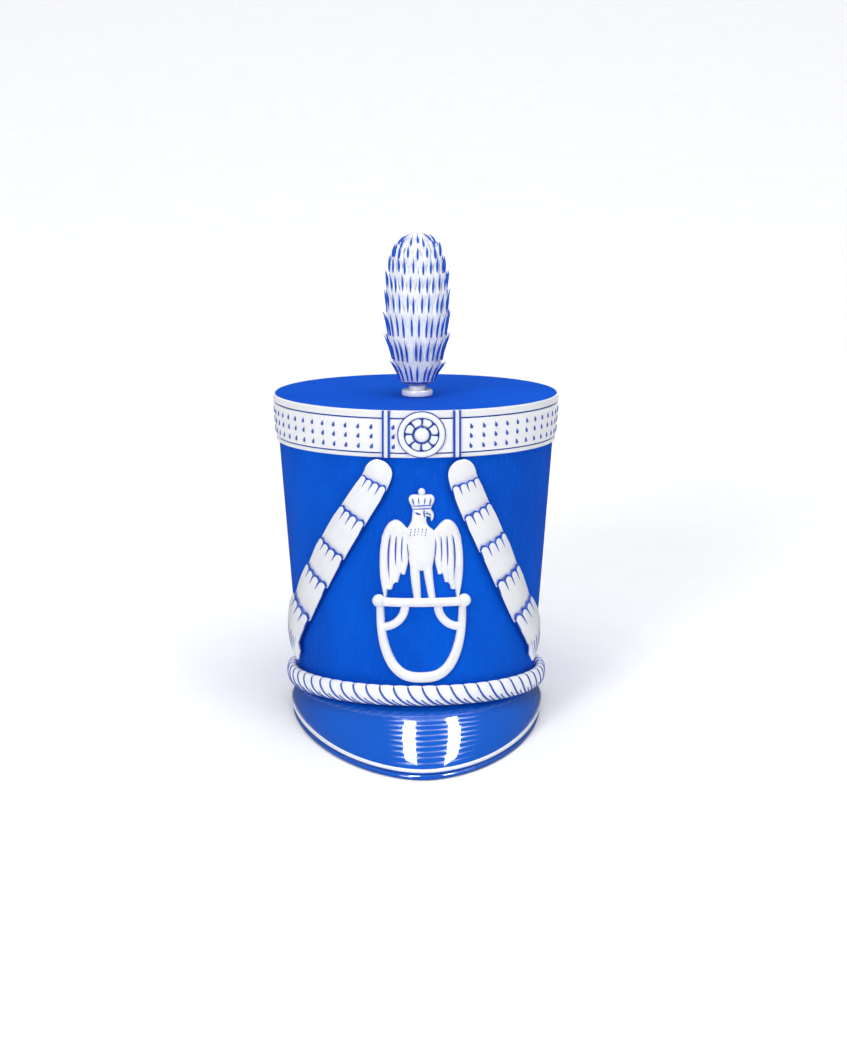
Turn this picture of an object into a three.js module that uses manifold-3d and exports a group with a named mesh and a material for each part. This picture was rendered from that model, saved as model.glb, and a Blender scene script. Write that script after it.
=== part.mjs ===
// A tall military shako: a felt crown with a lace band, cockade, plume, metal chin scales worn up,
// a cast eagle badge, a twisted base cord and a glossy peak. All sizes are in millimetres.
// The hat is drawn upright, with its front towards -Y and the crown's rim at height 0. It is then
// laid back until it rests on the peak's edge and the back of the rim, as it does by itself.

import * as THREE from "three";
import { mergeVertices } from "three/addons/utils/BufferGeometryUtils.js";
import Module from "manifold-3d";

const wasm = await Module();
wasm.setup();

// Driving sizes
const GAP = 0.3; // left between pieces that touch
const CROWN = { halfWidth: 87.5, halfDepth: 103, topRadius: 105.3, height: 220.1, felt: 3, steps: 40 };
const TOP_LEATHER = 2;
const BRAID = 1.5; // thickness of the lace and of the narrow braids
const BAND = [
  { name: "band_edge_upper", low: 214.6, high: 220.1 },
  { name: "band_lace", low: 189, high: 213.5 },
  { name: "band_edge_lower", low: 185.2, high: 188 },
];
const LOOP = { x: 25.4, width: 5.8, thick: 1.2 };
const COCKADE = { height: 202.6, radius: 17.4, rim: 0.9, ring: 12.6, petal: 11.6, heart: 6.9, petals: 8 };
const COCKADE_THICK = { base: 1, ring: 2, petal: 1.4 };
const COCKADE_SLIT = 0.07; // half the angle between two petals
const BUTTON = [
  { radius: 6.1, rise: 1.6 },
  { radius: 4.3, rise: 3.4 },
  { radius: 0, rise: 4.2 },
];
const SOCKET = { y: -25, radius: 11.5, bore: 6.3, height: 5, round: 1.2 };
const STEM = { radius: 6, top: 229.2 };
const SCALE = { plates: 6, lean: 30, thick: 1.3, lift: 2.4, dome: 2.4, overlap: 4.5, scallops: 4, notch: 2.6 };
const SCALE_TIP = { length: 0.62, blunt: 0.03 };
const SCALE_POINT = { length: 1 / 6, blunt: 0.36, halfWidth: 0.6 };
const SCALE_LEATHER = { thick: 2, inset: 1.4, from: 0.12, short: 1.25, tip: { length: 1 / 6, blunt: 0.1 } };
const BAR = { height: 78.2, radius: 3.3, halfLength: 26, knobX: 29.7, knobHeight: 79.2, knob: 4.8 };
const SHIELD = { halfWidth: 29.9, top: 76, bottom: 21.6, thick: 3.2, width: 5.2, widen: 2.6 };
const SHIELD_CURVE = { side: 0.72, foot: 0.86, rows: 8 };
const QUADRANT = { radius: 17, width: 5.4, thick: 2.8, inset: 1 };
const CORD = { height: 8.7, tall: 15, thick: 8.5, turns: 19, stepsPerTurn: 7, strands: 3, groove: 0.16 };
const PEAK = { tip: 43.5, drop: 47.5, halfWidth: 93.2, roundness: 1.8, thick: 2.4, bulge: 4, reach: 98 };
const PEAK_END = { from: 0.84, least: 0.08 }; // where the peak starts to round off at the sides
const PEAK_SEAT = 1.2; // how far in under the felt the peak starts
const PEAK_EDGE = { radius: 1.8, sides: 6 };
const PEAK_BINDING = { inner: 0.93, outer: 0.98, thick: 1 };
const FACETS = { cockade: 24, socket: 16, plume: 12, knob: 8, peak: 32 };
const NEAR = { strap: 0.05, line: 0.01 }; // how far to each side a line's direction is taken

// Centre lines of the chin scale straps from the round tip down to the point, seen on the crown's surface.
// The straps are soft leather and don't hang quite alike.
const SCALE_LINES = {
  left: [
    { turn: 16, height: 183.6, width: 19.5 },
    { turn: 18.6, height: 169, width: 20.5 },
    { turn: 28, height: 144, width: 22.5 },
    { turn: 39, height: 117.5, width: 24 },
    { turn: 48.5, height: 95.5, width: 24.5 },
    { turn: 61.5, height: 69.5, width: 26 },
    { turn: 77, height: 42, width: 26 },
    { turn: 71, height: 24, width: 2.4 },
  ],
  right: [
    { turn: 15.4, height: 183.6, width: 20 },
    { turn: 17.2, height: 168, width: 21 },
    { turn: 22.5, height: 147, width: 22.5 },
    { turn: 30, height: 123.5, width: 23.5 },
    { turn: 39, height: 97, width: 24 },
    { turn: 50, height: 70, width: 24.5 },
    { turn: 65, height: 42, width: 23 },
    { turn: 63.5, height: 24, width: 2.4 },
  ],
};

// Half outline of the plume's core and the rows of locks that stand on it.
const PLUME_CORE = [
  { height: 229.5, radius: 10.5 },
  { height: 240, radius: 13.6 },
  { height: 256, radius: 16.8 },
  { height: 272, radius: 18.2 },
  { height: 292, radius: 17.6 },
  { height: 310, radius: 15.8 },
  { height: 326, radius: 12 },
  { height: 336, radius: 6.6 },
];
const PLUME_TOP = 340;
const PLUME_ROWS = [
  { height: 231, radius: 11, length: 19, locks: 9, lean: 24 },
  { height: 247, radius: 15, length: 21, locks: 9, lean: 20 },
  { height: 264, radius: 16.5, length: 21, locks: 9, lean: 16 },
  { height: 281, radius: 16.5, length: 20, locks: 9, lean: 15 },
  { height: 296, radius: 15.5, length: 18, locks: 9, lean: 16 },
  { height: 310, radius: 13, length: 16, locks: 9, lean: 19 },
  { height: 321, radius: 9, length: 15, locks: 8, lean: 20 },
  { height: 329, radius: 4.4, length: 14, locks: 5, lean: 10 },
];
const PLUME_LOCK = { width: 7.4, depth: 0.6, sides: 4 };

// Relief of the eagle, row by row: where each part starts and ends across the badge.
const EAGLE_BODY = [
  { height: 147, left: -6.2, right: 3.2 },
  { height: 141, left: -7, right: 3 },
  { height: 135.2, left: -8.8, right: 4.4 },
  { height: 130.7, left: -11.2, right: 8.8 },
  { height: 121, left: -11, right: 10.7 },
  { height: 108, left: -8.8, right: 7.9 },
  { height: 101.5, left: -8.2, right: 7.8 },
];
const EAGLE_BEAK = [
  { height: 147, left: 1.5, right: 5.4 },
  { height: 144, left: 2, right: 7.6 },
  { height: 141.6, left: 4.6, right: 7.9 },
  { height: 139, left: 6.6, right: 7.7 },
];
const EAGLE_LEG_LEFT = [
  { height: 104, left: -8.3, right: -1.2 },
  { height: 92, left: -7.2, right: -0.8 },
  { height: 80, left: -5.4, right: 0 },
];
const EAGLE_LEG_RIGHT = [
  { height: 104, left: 1.1, right: 7.9 },
  { height: 92, left: 3, right: 9 },
  { height: 80, left: 5.7, right: 10.7 },
];
const EAGLE_WING = [
  { height: 138.6, inner: 17, outer: 20.4 },
  { height: 135.6, inner: 14, outer: 24.3 },
  { height: 130.7, inner: 9.5, outer: 26.9 },
  { height: 121, inner: 8, outer: 29.4 },
  { height: 111.4, inner: 8, outer: 30.3 },
  { height: 105.4, inner: 9, outer: 30.2 },
  { height: 100.2, inner: 15.2, outer: 29.8 },
  { height: 95, inner: 19.8, outer: 28.7 },
  { height: 90, inner: 22.7, outer: 28 },
  { height: 80.5, inner: 25, outer: 26.6 },
];
const EAGLE_CROWN = [
  { height: 157.6, left: -8, right: 8 },
  { height: 155, left: -9.6, right: 9.6 },
  { height: 151, left: -8.2, right: 8.2 },
  { height: 146, left: -6.2, right: 6.2 },
];
const EAGLE_CROWN_BALL = { height: 159.8, radius: 2.6 };
const RELIEF = { body: 4.6, beak: 3.4, leg: 3.8, wing: 3.2, crown: 3.6, crowning: 0.35, layer: 0.05 };

const FINISH = {
  felt: { color: 0x0f56c6, roughness: 0.95, metalness: 0 },
  topLeather: { color: 0x0b4fbc, roughness: 0.55, metalness: 0 },
  lace: { color: 0xf4f5f8, roughness: 0.8, metalness: 0 },
  blueCloth: { color: 0x0b4bb0, roughness: 0.85, metalness: 0 },
  whiteMetal: { color: 0xeef0f4, roughness: 0.3, metalness: 0.7 },
  feather: { color: 0xf8f9fc, roughness: 0.9, metalness: 0 },
  cord: { color: 0xf5f6f9, roughness: 0.75, metalness: 0 },
  patentLeather: { color: 0x0a50c8, roughness: 0.15, metalness: 0 },
};

const radians = THREE.MathUtils.degToRad;
const mix = THREE.MathUtils.lerp;

// Surface of the crown

// Half width and half depth of the crown at a height.
function crownSize(height) {
  const rise = height / CROWN.height;
  return {
    width: mix(CROWN.halfWidth, CROWN.topRadius, rise),
    depth: mix(CROWN.halfDepth, CROWN.topRadius, rise),
  };
}

// A point at a turn from the centre front, in radians, at a height, and so far out from the felt.
function crownPoint(turn, height, out) {
  const size = crownSize(height);
  const sin = Math.sin(turn);
  const cos = Math.cos(turn);
  const around = new THREE.Vector3(size.width * cos, size.depth * sin, 0);
  const flareWidth = (CROWN.topRadius - CROWN.halfWidth) / CROWN.height;
  const flareDepth = (CROWN.topRadius - CROWN.halfDepth) / CROWN.height;
  const up = new THREE.Vector3(flareWidth * sin, -flareDepth * cos, 1);
  const outward = around.cross(up).normalize();
  return new THREE.Vector3(size.width * sin, -size.depth * cos, height).addScaledVector(outward, out);
}

// The same for a point on the front, given by its distance x from the centre line.
function frontPoint(x, height, out) {
  return crownPoint(frontTurn(x, height), height, out);
}

function frontTurn(x, height) {
  return Math.asin(x / crownSize(height).width);
}

// Closed bodies

function volume(geometry) {
  const position = geometry.getAttribute("position");
  const corners = geometry.index.array;
  const corner = (i) => new THREE.Vector3().fromBufferAttribute(position, corners[i]);
  let sum = 0;
  for (let i = 0; i < corners.length; i += 3) {
    sum += corner(i).dot(corner(i + 1).cross(corner(i + 2))) / 6;
  }
  return sum;
}

// Joins the vertices that share a place, drops triangles with no area, and turns the faces out.
function shut(geometry) {
  geometry.deleteAttribute("normal");
  geometry.deleteAttribute("uv");
  const merged = mergeVertices(geometry, 1e-4);
  const corners = merged.index.array;
  const kept = [];
  for (let i = 0; i < corners.length; i += 3) {
    const [a, b, c] = corners.slice(i, i + 3);
    if (a !== b && b !== c && c !== a) kept.push(a, b, c);
  }
  merged.setIndex(kept);
  if (volume(merged) < 0) merged.setIndex(kept.reverse());
  return merged;
}

// Moves every vertex of a closed geometry: place gets its position and its two surface numbers.
function reshape(geometry, place) {
  const position = geometry.getAttribute("position");
  const uv = geometry.getAttribute("uv");
  for (let i = 0; i < position.count; i++) {
    const at = place(new THREE.Vector3().fromBufferAttribute(position, i), uv.getX(i), uv.getY(i));
    position.setXYZ(i, at.x, at.y, at.z);
  }
  return shut(geometry);
}

// A slab from a box with a grid on it: place gets across, along and through, each from 0 to 1.
function slab(columns, rows, place) {
  const box = new THREE.BoxGeometry(1, 1, 1, columns, rows, 1);
  return reshape(box, (p) => place(p.x + 0.5, p.y + 0.5, p.z + 0.5));
}

// A ring all round the crown with the corners of its section in a list, each corner at one height.
function hoop(corners) {
  const ring = new THREE.TorusGeometry(2, 1, corners.length, CROWN.steps);
  return reshape(ring, (p, u, v) => {
    const corner = corners[Math.round(v * corners.length) % corners.length];
    return crownPoint(2 * Math.PI * u, corner.height, corner.out).setZ(corner.height);
  });
}

function band(low, high, inner, outer) {
  return hoop([
    { height: low, out: inner },
    { height: low, out: outer },
    { height: high, out: outer },
    { height: high, out: inner },
  ]);
}

// A turned body: its section is a list of radius and height pairs, and it stands on the Z axis.
function turned(section, steps) {
  const points = section.map(([radius, height]) => new THREE.Vector2(radius, height));
  const body = new THREE.LatheGeometry(points, steps);
  body.rotateX(Math.PI / 2);
  return shut(body);
}

// Values between the rows of a table, on a smooth line through them; at runs from 0 to 1.
function between(rows, names, at) {
  const line = new THREE.CatmullRomCurve3(
    rows.map((row) => new THREE.Vector3(...names.map((name) => row[name]))),
    false,
    "centripetal",
  );
  return line.getPoint(at);
}

// Joins and cuts

function solid(geometry) {
  const vertProperties = geometry.getAttribute("position").array;
  const triVerts = new Uint32Array(geometry.index.array);
  return new wasm.Manifold(new wasm.Mesh({ numProp: 3, vertProperties, triVerts }));
}

function fuse(geometries) {
  const joined = geometries.map(solid).reduce((whole, next) => whole.add(next));
  const mesh = joined.getMesh();
  const geometry = new THREE.BufferGeometry();
  geometry.setAttribute("position", new THREE.BufferAttribute(mesh.vertProperties, mesh.numProp));
  geometry.setIndex(new THREE.BufferAttribute(mesh.triVerts, 1));
  return geometry;
}

// Scene graph

const hat = new THREE.Group();

function add(name, geometry, finish) {
  const material = new THREE.MeshStandardMaterial({ ...FINISH[finish], flatShading: true });
  const mesh = new THREE.Mesh(geometry, material);
  mesh.name = name;
  hat.add(mesh);
  return mesh;
}

// Crown: a tube of felt, closed at the top by a flat leather disc.
function addCrown() {
  const feltTop = CROWN.height - TOP_LEATHER - GAP;
  add("crown_shell", band(0, feltTop, -CROWN.felt, 0), "felt");
  const rings = [0.5, 1];
  const low = CROWN.height - TOP_LEATHER;
  const section = [
    [0, low],
    ...rings.map((r) => [r * CROWN.topRadius, low]),
    ...rings.toReversed().map((r) => [r * CROWN.topRadius, CROWN.height]),
    [0, CROWN.height],
  ];
  add("crown_top", turned(section, CROWN.steps), "topLeather");
}

// Band: the lace with a narrow braid on each side, and an upright loop on each side of the cockade.
function addBand() {
  for (const strip of BAND) {
    add(strip.name, band(strip.low, strip.high, GAP, GAP + BRAID), "lace");
  }
  const out = 2 * GAP + BRAID;
  const low = BAND[2].low;
  const high = BAND[0].high;
  for (const [name, side] of [["loop_left", -1], ["loop_right", 1]]) {
    const strap = slab(2, 4, (across, along, through) => {
      const x = side * LOOP.x + LOOP.width * (across - 0.5);
      return frontPoint(x, mix(low, high, along), out + LOOP.thick * through);
    });
    add(name, strap, "lace");
  }
}

// Cockade: a disc with a ring, petals and a button on it, bent to the crown's front.
function cockadePetal(from, to, low) {
  return slab(3, 2, (across, along, through) => {
    const angle = mix(from, to, across);
    const radius = mix(COCKADE.heart, COCKADE.petal, along);
    const x = radius * Math.sin(angle);
    const height = COCKADE.height + radius * Math.cos(angle);
    return frontPoint(x, height, low + COCKADE_THICK.petal * through);
  });
}

// A ring with a flat face.
function cockadeRing(inner, outer, low, high) {
  const corners = [
    [inner, low],
    [inner, high],
    [outer, high],
    [outer, low],
  ];
  return reshape(new THREE.TorusGeometry(2, 1, corners.length, FACETS.cockade), (p, u, v) => {
    const [radius, out] = corners[Math.round(v * corners.length) % corners.length];
    const angle = 2 * Math.PI * u;
    return frontPoint(radius * Math.sin(angle), COCKADE.height + radius * Math.cos(angle), out);
  });
}

// A round piece with its middle filled in; the section is a list of radius and out pairs.
function cockadeDisc(section) {
  const line = section.map((at) => new THREE.Vector2(...at));
  return reshape(new THREE.LatheGeometry(line, FACETS.cockade), (p) =>
    frontPoint(p.x, COCKADE.height + p.z, p.y),
  );
}

function addCockade() {
  const base = 2 * GAP + BRAID;
  const baseTop = base + COCKADE_THICK.base;
  const low = baseTop + GAP;
  const r = COCKADE.radius;
  const disc = [
    [0, base],
    [r / 2, base],
    [r, base],
    [r, baseTop],
    [r / 2, baseTop],
    [0, baseTop],
  ];
  add("cockade_base", cockadeDisc(disc), "blueCloth");
  add("cockade_ring", cockadeRing(COCKADE.ring, r - COCKADE.rim, low, low + COCKADE_THICK.ring), "lace");
  const step = (2 * Math.PI) / COCKADE.petals;
  for (let i = 0; i < COCKADE.petals; i++) {
    const petal = cockadePetal(i * step + COCKADE_SLIT, (i + 1) * step - COCKADE_SLIT, low);
    add(`cockade_petal_${i + 1}`, petal, "lace");
  }
  const face = BUTTON.map(({ radius, rise }) => [radius, low + rise]);
  const button = [[0, low], [BUTTON[0].radius, low], ...face];
  add("cockade_button", cockadeDisc(button), "whiteMetal");
}

// Plume: a core with rows of locks fused to it, on a stem that stands in a socket on the top.
function plumeLock(row, index, shift) {
  const lock = new THREE.ConeGeometry(PLUME_LOCK.width / 2, row.length, PLUME_LOCK.sides);
  lock.translate(0, row.length / 2, 0);
  lock.rotateX(Math.PI / 2);
  lock.scale(1, PLUME_LOCK.depth, 1);
  lock.rotateX(radians(row.lean));
  lock.translate(0, -row.radius, row.height);
  lock.rotateZ((2 * Math.PI * (index + shift)) / row.locks);
  return shut(lock);
}

function addPlume() {
  const s = SOCKET;
  const foot = CROWN.height + GAP;
  const socket = turned(
    [
      [s.bore, foot],
      [s.radius - s.round, foot],
      [s.radius, foot + s.round],
      [s.radius, foot + s.height - s.round],
      [s.radius - s.round, foot + s.height],
      [s.bore, foot + s.height],
      [s.bore, foot],
    ],
    FACETS.socket,
  );
  const stemSection = [
    [0, foot],
    [STEM.radius, foot],
    [STEM.radius, STEM.top],
    [0, STEM.top],
  ];
  const outline = PLUME_CORE.map((row) => [row.radius, row.height]);
  const coreSection = [[0, PLUME_CORE[0].height], ...outline, [0, PLUME_TOP]];
  const core = turned(coreSection, FACETS.plume);
  const locks = PLUME_ROWS.flatMap((row, n) =>
    Array.from({ length: row.locks }, (_, i) => plumeLock(row, i, (n % 2) / 2)),
  );
  const pieces = [
    add("plume_socket", socket, "whiteMetal"),
    add("plume_stem", turned(stemSection, FACETS.socket), "whiteMetal"),
    add("plume", fuse([core, ...locks]), "feather"),
  ];
  for (const mesh of pieces) mesh.position.y = SOCKET.y;
}

// Chin scales: a domed leather strap on each side with six plates that lap like shingles.

// Share of the full width at a round end, where along runs from the end. Blunt keeps it from a point.
function roundEnd(along, { length, blunt }) {
  const past = Math.min(1, along / length + blunt);
  return Math.sqrt(1 - (1 - past) ** 2);
}

// A point on the left or right strap: across from -1 to 1, along in rows of its line.
function strapPoint(hand, across, along, out, inset = 0) {
  const line = SCALE_LINES[hand];
  const last = line.length - 1;
  const names = ["turn", "height", "width"];
  const at = between(line, names, along / last);
  const next = between(line, names, Math.min(along + NEAR.strap, last) / last);
  const before = between(line, names, Math.max(along - NEAR.strap, 0) / last);
  const radius = crownSize(at.y).width;
  const way = new THREE.Vector2(radians(next.x - before.x) * radius, next.y - before.y).normalize();
  const offset = across * Math.max(at.z / 2 - inset, SCALE_POINT.halfWidth);
  const turn = radians(at.x) - (way.y * offset) / radius;
  const height = at.y + way.x * offset;
  const dome = SCALE.dome * (1 - across * across);
  return crownPoint(hand === "left" ? -turn : turn, height, out + dome);
}

function scalePlate(hand, number) {
  const line = SCALE_LINES[hand];
  const first = number === 0;
  const last = number === SCALE.plates - 1;
  const start = number;
  const end = last ? line.length - 1 : number + 1;
  const rowLength = (line[2].height - line[3].height) / Math.cos(radians(SCALE.lean));
  const under = last ? 0 : SCALE.overlap / rowLength;
  const lift = first ? 0 : SCALE.lift;
  const columns = SCALE.scallops * 3;
  const rows = first || last ? 4 : 2;
  return slab(columns, rows, (across, along, through) => {
    const wave = Math.abs(Math.sin(Math.PI * SCALE.scallops * across));
    const notch = first ? 0 : ((1 - wave) * SCALE.notch) / rowLength;
    const at = mix(start + notch, end + under, along);
    const round = first ? roundEnd(along, SCALE_TIP) : 1;
    const narrow = last ? Math.min(1, (1 - along) / SCALE_POINT.length + SCALE_POINT.blunt) : 1;
    const out = 2 * GAP + SCALE_LEATHER.thick + lift * (1 - along) + SCALE.thick * through;
    return strapPoint(hand, (2 * across - 1) * round * narrow, at, out);
  });
}

function addScales() {
  for (const hand of ["left", "right"]) {
    const backing = slab(3, 14, (across, along, through) => {
      const round = roundEnd(along, SCALE_LEATHER.tip);
      const at = mix(SCALE_LEATHER.from, SCALE_LINES[hand].length - SCALE_LEATHER.short, along);
      const dome = SCALE.dome * (1 - (2 * across - 1) ** 2);
      const out = GAP + SCALE_LEATHER.thick * through - dome * (1 - through);
      return strapPoint(hand, (2 * across - 1) * round, at, out, SCALE_LEATHER.inset);
    });
    add(`scale_backing_${hand}`, backing, "blueCloth");
    for (let i = 0; i < SCALE.plates; i++) {
      add(`scale_${hand}_${i + 1}`, scalePlate(hand, i), "whiteMetal");
    }
  }
}

// Badge: cast in one piece, laid flat in rows and bent to the crown's front.

// A relief with a slightly rounded face between the left and right ends of its rows.
function relief(rows, columns, thick, back) {
  return slab(columns, rows.length - 1, (across, along, through) => {
    const row = rows[Math.round(along * (rows.length - 1))];
    const x = mix(row.left, row.right, across);
    const round = 1 - RELIEF.crowning * (2 * across - 1) ** 2;
    return frontPoint(x, row.height, back + thick * round * through);
  });
}

// A flat bar along a line of rows with x, height and width.
function ribbon(rows, steps, thick, back) {
  return slab(2, steps, (across, along, through) => {
    const names = ["x", "height", "width"];
    const at = between(rows, names, along);
    const next = between(rows, names, Math.min(along + NEAR.line, 1));
    const before = between(rows, names, Math.max(along - NEAR.line, 0));
    const way = new THREE.Vector2(next.x - before.x, next.y - before.y).normalize();
    const offset = at.z * (across - 0.5);
    const round = 1 - RELIEF.crowning * (2 * across - 1) ** 2;
    return frontPoint(at.x - way.y * offset, at.y + way.x * offset, back + thick * round * through);
  });
}

function knob(x, height, radius) {
  const ball = new THREE.SphereGeometry(radius, FACETS.knob, FACETS.knob - 2);
  const at = frontPoint(x, height, GAP + radius);
  ball.translate(at.x, at.y, at.z);
  return shut(ball);
}

function shieldRows() {
  const depth = SHIELD.top - SHIELD.bottom;
  const rows = [];
  for (let i = 0; i <= SHIELD_CURVE.rows; i++) {
    const angle = Math.PI * (i / SHIELD_CURVE.rows - 0.5);
    const sin = Math.sin(angle);
    const x = SHIELD.halfWidth * Math.sign(sin) * Math.abs(sin) ** SHIELD_CURVE.side;
    const height = SHIELD.top - depth * Math.abs(Math.cos(angle)) ** SHIELD_CURVE.foot;
    rows.push({ x, height, width: SHIELD.width + SHIELD.widen * Math.cos(angle) });
  }
  return rows;
}

function quadrantRows(side) {
  return [0, 1, 2, 3].map((i) => {
    const angle = (i / 3) * (Math.PI / 2);
    const x = side * (SHIELD.halfWidth - QUADRANT.inset - QUADRANT.radius * Math.cos(angle));
    return { x, height: SHIELD.top - QUADRANT.radius * Math.sin(angle), width: QUADRANT.width };
  });
}

function addBadge() {
  const wing = (side) =>
    EAGLE_WING.map(({ height, inner, outer }) => {
      const ends = [side * inner, side * outer].sort((a, b) => a - b);
      return { height, left: ends[0], right: ends[1] };
    });
  const barLine = [-1, -0.5, 0, 0.5, 1].map((at) => {
    return { x: at * BAR.halfLength, height: BAR.height, width: 2 * BAR.radius };
  });
  // Each part starts a little further out, so that no two back faces share a plane.
  const back = (layer) => GAP + layer * RELIEF.layer;
  const parts = [
    relief(EAGLE_BODY, 4, RELIEF.body, back(0)),
    relief(EAGLE_BEAK, 2, RELIEF.beak, back(1)),
    relief(EAGLE_LEG_LEFT, 2, RELIEF.leg, back(2)),
    relief(EAGLE_LEG_RIGHT, 2, RELIEF.leg, back(2)),
    relief(wing(-1), 4, RELIEF.wing, back(3)),
    relief(wing(1), 4, RELIEF.wing, back(3)),
    relief(EAGLE_CROWN, 4, RELIEF.crown, back(4)),
    knob(0, EAGLE_CROWN_BALL.height, EAGLE_CROWN_BALL.radius),
    ribbon(barLine, 8, 2 * BAR.radius, back(5)),
    knob(-BAR.knobX, BAR.knobHeight, BAR.knob),
    knob(BAR.knobX, BAR.knobHeight, BAR.knob),
    ribbon(shieldRows(), 20, SHIELD.thick, back(6)),
    ribbon(quadrantRows(-1), 5, QUADRANT.thick, back(7)),
    ribbon(quadrantRows(1), 5, QUADRANT.thick, back(7)),
  ];
  add("badge", fuse(parts), "whiteMetal");
}

// Base cord: three strands twisted together, flattened against the foot of the crown.
function addCord() {
  const sides = 2 * CORD.strands;
  const steps = CORD.turns * CORD.stepsPerTurn;
  const cord = reshape(new THREE.TorusGeometry(2, 1, sides, steps), (p, u, v) => {
    const side = Math.round(v * sides);
    const grow = side % 2 ? 1 - 2 * CORD.groove : 1;
    const angle = (2 * Math.PI * side) / sides - 2 * Math.PI * CORD.turns * u;
    const out = GAP + (CORD.thick / 2) * (1 + grow * Math.cos(angle));
    const height = CORD.height + (CORD.tall / 2) * grow * Math.sin(angle);
    return crownPoint(2 * Math.PI * u, height, out);
  });
  add("base_cord", cord, "cord");
}

// Peak: a curved plate under the rim. Its edge lies in the plane that the hat rests on.

const REST_SLOPE = PEAK.drop / (2 * CROWN.halfDepth + PEAK.tip);

// Where the rolled edge runs, at an angle round from the centre front.
function peakEdge(angle) {
  const power = 2 / PEAK.roundness;
  const sin = Math.sin(angle);
  const cos = Math.cos(angle);
  const width = PEAK.halfWidth - PEAK_EDGE.radius;
  const depth = CROWN.halfDepth + PEAK.tip - PEAK_EDGE.radius;
  const x = width * Math.sign(sin) * Math.abs(sin) ** power;
  const y = -depth * Math.sign(cos) * Math.abs(cos) ** power;
  const lift = PEAK_EDGE.radius * Math.hypot(1, REST_SLOPE);
  return new THREE.Vector3(x, y, lift - REST_SLOPE * (CROWN.halfDepth - y));
}

// Foot of the peak under the rim, its edge and the direction out of its face, around from -1 to 1.
function peakLine(around) {
  const angle = radians(PEAK.reach) * around;
  const foot = crownPoint(angle, 0, -PEAK_SEAT).setZ(-GAP);
  const edge = peakEdge(angle);
  const along = peakEdge(angle + NEAR.line).sub(peakEdge(angle - NEAR.line));
  const face = edge.clone().sub(foot).cross(along).normalize();
  foot.z -= (PEAK.thick / 2) * face.z;
  return { foot, edge, face };
}

// A point on the peak: reach runs from 0 at the rim to 1 at the edge, up is measured off the face.
function peakPoint(around, reach, up) {
  const { foot, edge, face } = peakLine(around);
  const over = Math.max(0, (Math.abs(around) - PEAK_END.from) / (1 - PEAK_END.from));
  const fade = Math.max(PEAK_END.least, Math.sqrt(Math.max(0, 1 - over * over)));
  const width = edge.distanceTo(foot);
  const share = (fade * reach * (width - PEAK_EDGE.radius - GAP)) / width;
  const bulge = fade * PEAK.bulge * 4 * reach * (1 - reach);
  return foot.lerp(edge, share).addScaledVector(face, bulge + up);
}

function addPeak() {
  const columns = FACETS.peak;
  const peak = slab(columns, 4, (across, along, through) =>
    peakPoint(2 * across - 1, along, PEAK.thick * (through - 0.5)),
  );
  add("peak", peak, "patentLeather");

  const end = 1 - 2 / columns;
  const binding = slab(columns - 2, 1, (across, along, through) => {
    const reach = mix(PEAK_BINDING.inner, PEAK_BINDING.outer, along);
    const up = PEAK.thick / 2 + GAP + PEAK_BINDING.thick * through;
    return peakPoint(mix(-end, end, across), reach, up);
  });
  add("peak_binding", binding, "lace");

  const r = PEAK_EDGE.radius;
  const bead = reshape(new THREE.CylinderGeometry(r, r, 1, PEAK_EDGE.sides, columns), (p) => {
    const around = 2 * p.y;
    const { foot, edge, face } = peakLine(around);
    const away = edge.sub(foot).normalize();
    const middle = peakPoint(around, 1, 0).addScaledVector(away, r + GAP);
    return middle.addScaledVector(away, p.x).addScaledVector(face, p.z);
  });
  add("peak_edge", bead, "patentLeather");
}

addCrown();
addBand();
addCockade();
addPlume();
addScales();
addBadge();
addCord();
addPeak();

// The hat at rest, with the middle of its box on the origin and its lowest point at height 0.
hat.rotation.x = -Math.atan(REST_SLOPE);
const rest = new THREE.Group();
rest.add(hat);
rest.updateMatrixWorld(true);
const box = new THREE.Box3().setFromObject(hat, true);
const middle = box.getCenter(new THREE.Vector3());
hat.position.set(-middle.x, -middle.y, -box.min.z);

export default rest;
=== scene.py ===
import math

import bmesh
import bpy
import numpy as np
from mathutils import Matrix, Vector


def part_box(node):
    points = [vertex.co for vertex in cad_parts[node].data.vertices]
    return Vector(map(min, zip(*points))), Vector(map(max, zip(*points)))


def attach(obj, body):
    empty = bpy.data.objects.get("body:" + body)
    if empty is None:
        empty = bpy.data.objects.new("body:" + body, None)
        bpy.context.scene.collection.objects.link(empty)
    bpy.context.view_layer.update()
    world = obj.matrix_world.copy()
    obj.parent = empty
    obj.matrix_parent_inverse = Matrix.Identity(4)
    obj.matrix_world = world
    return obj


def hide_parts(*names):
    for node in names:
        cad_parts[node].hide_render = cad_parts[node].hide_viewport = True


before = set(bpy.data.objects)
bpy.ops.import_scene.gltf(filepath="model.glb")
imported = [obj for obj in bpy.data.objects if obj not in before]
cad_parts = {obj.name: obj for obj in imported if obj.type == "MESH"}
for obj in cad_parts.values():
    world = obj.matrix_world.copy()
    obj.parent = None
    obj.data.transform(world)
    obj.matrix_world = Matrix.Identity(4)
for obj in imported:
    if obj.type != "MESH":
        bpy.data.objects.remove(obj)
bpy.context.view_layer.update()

# How the hat lies
# The hat is drawn upright in millimetres, its front towards -Y and its rim at height 0, and then laid back
# on the edge of the peak and the back of the rim, as it rests by itself. The frame's crown top says where
# that leaves it.

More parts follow.
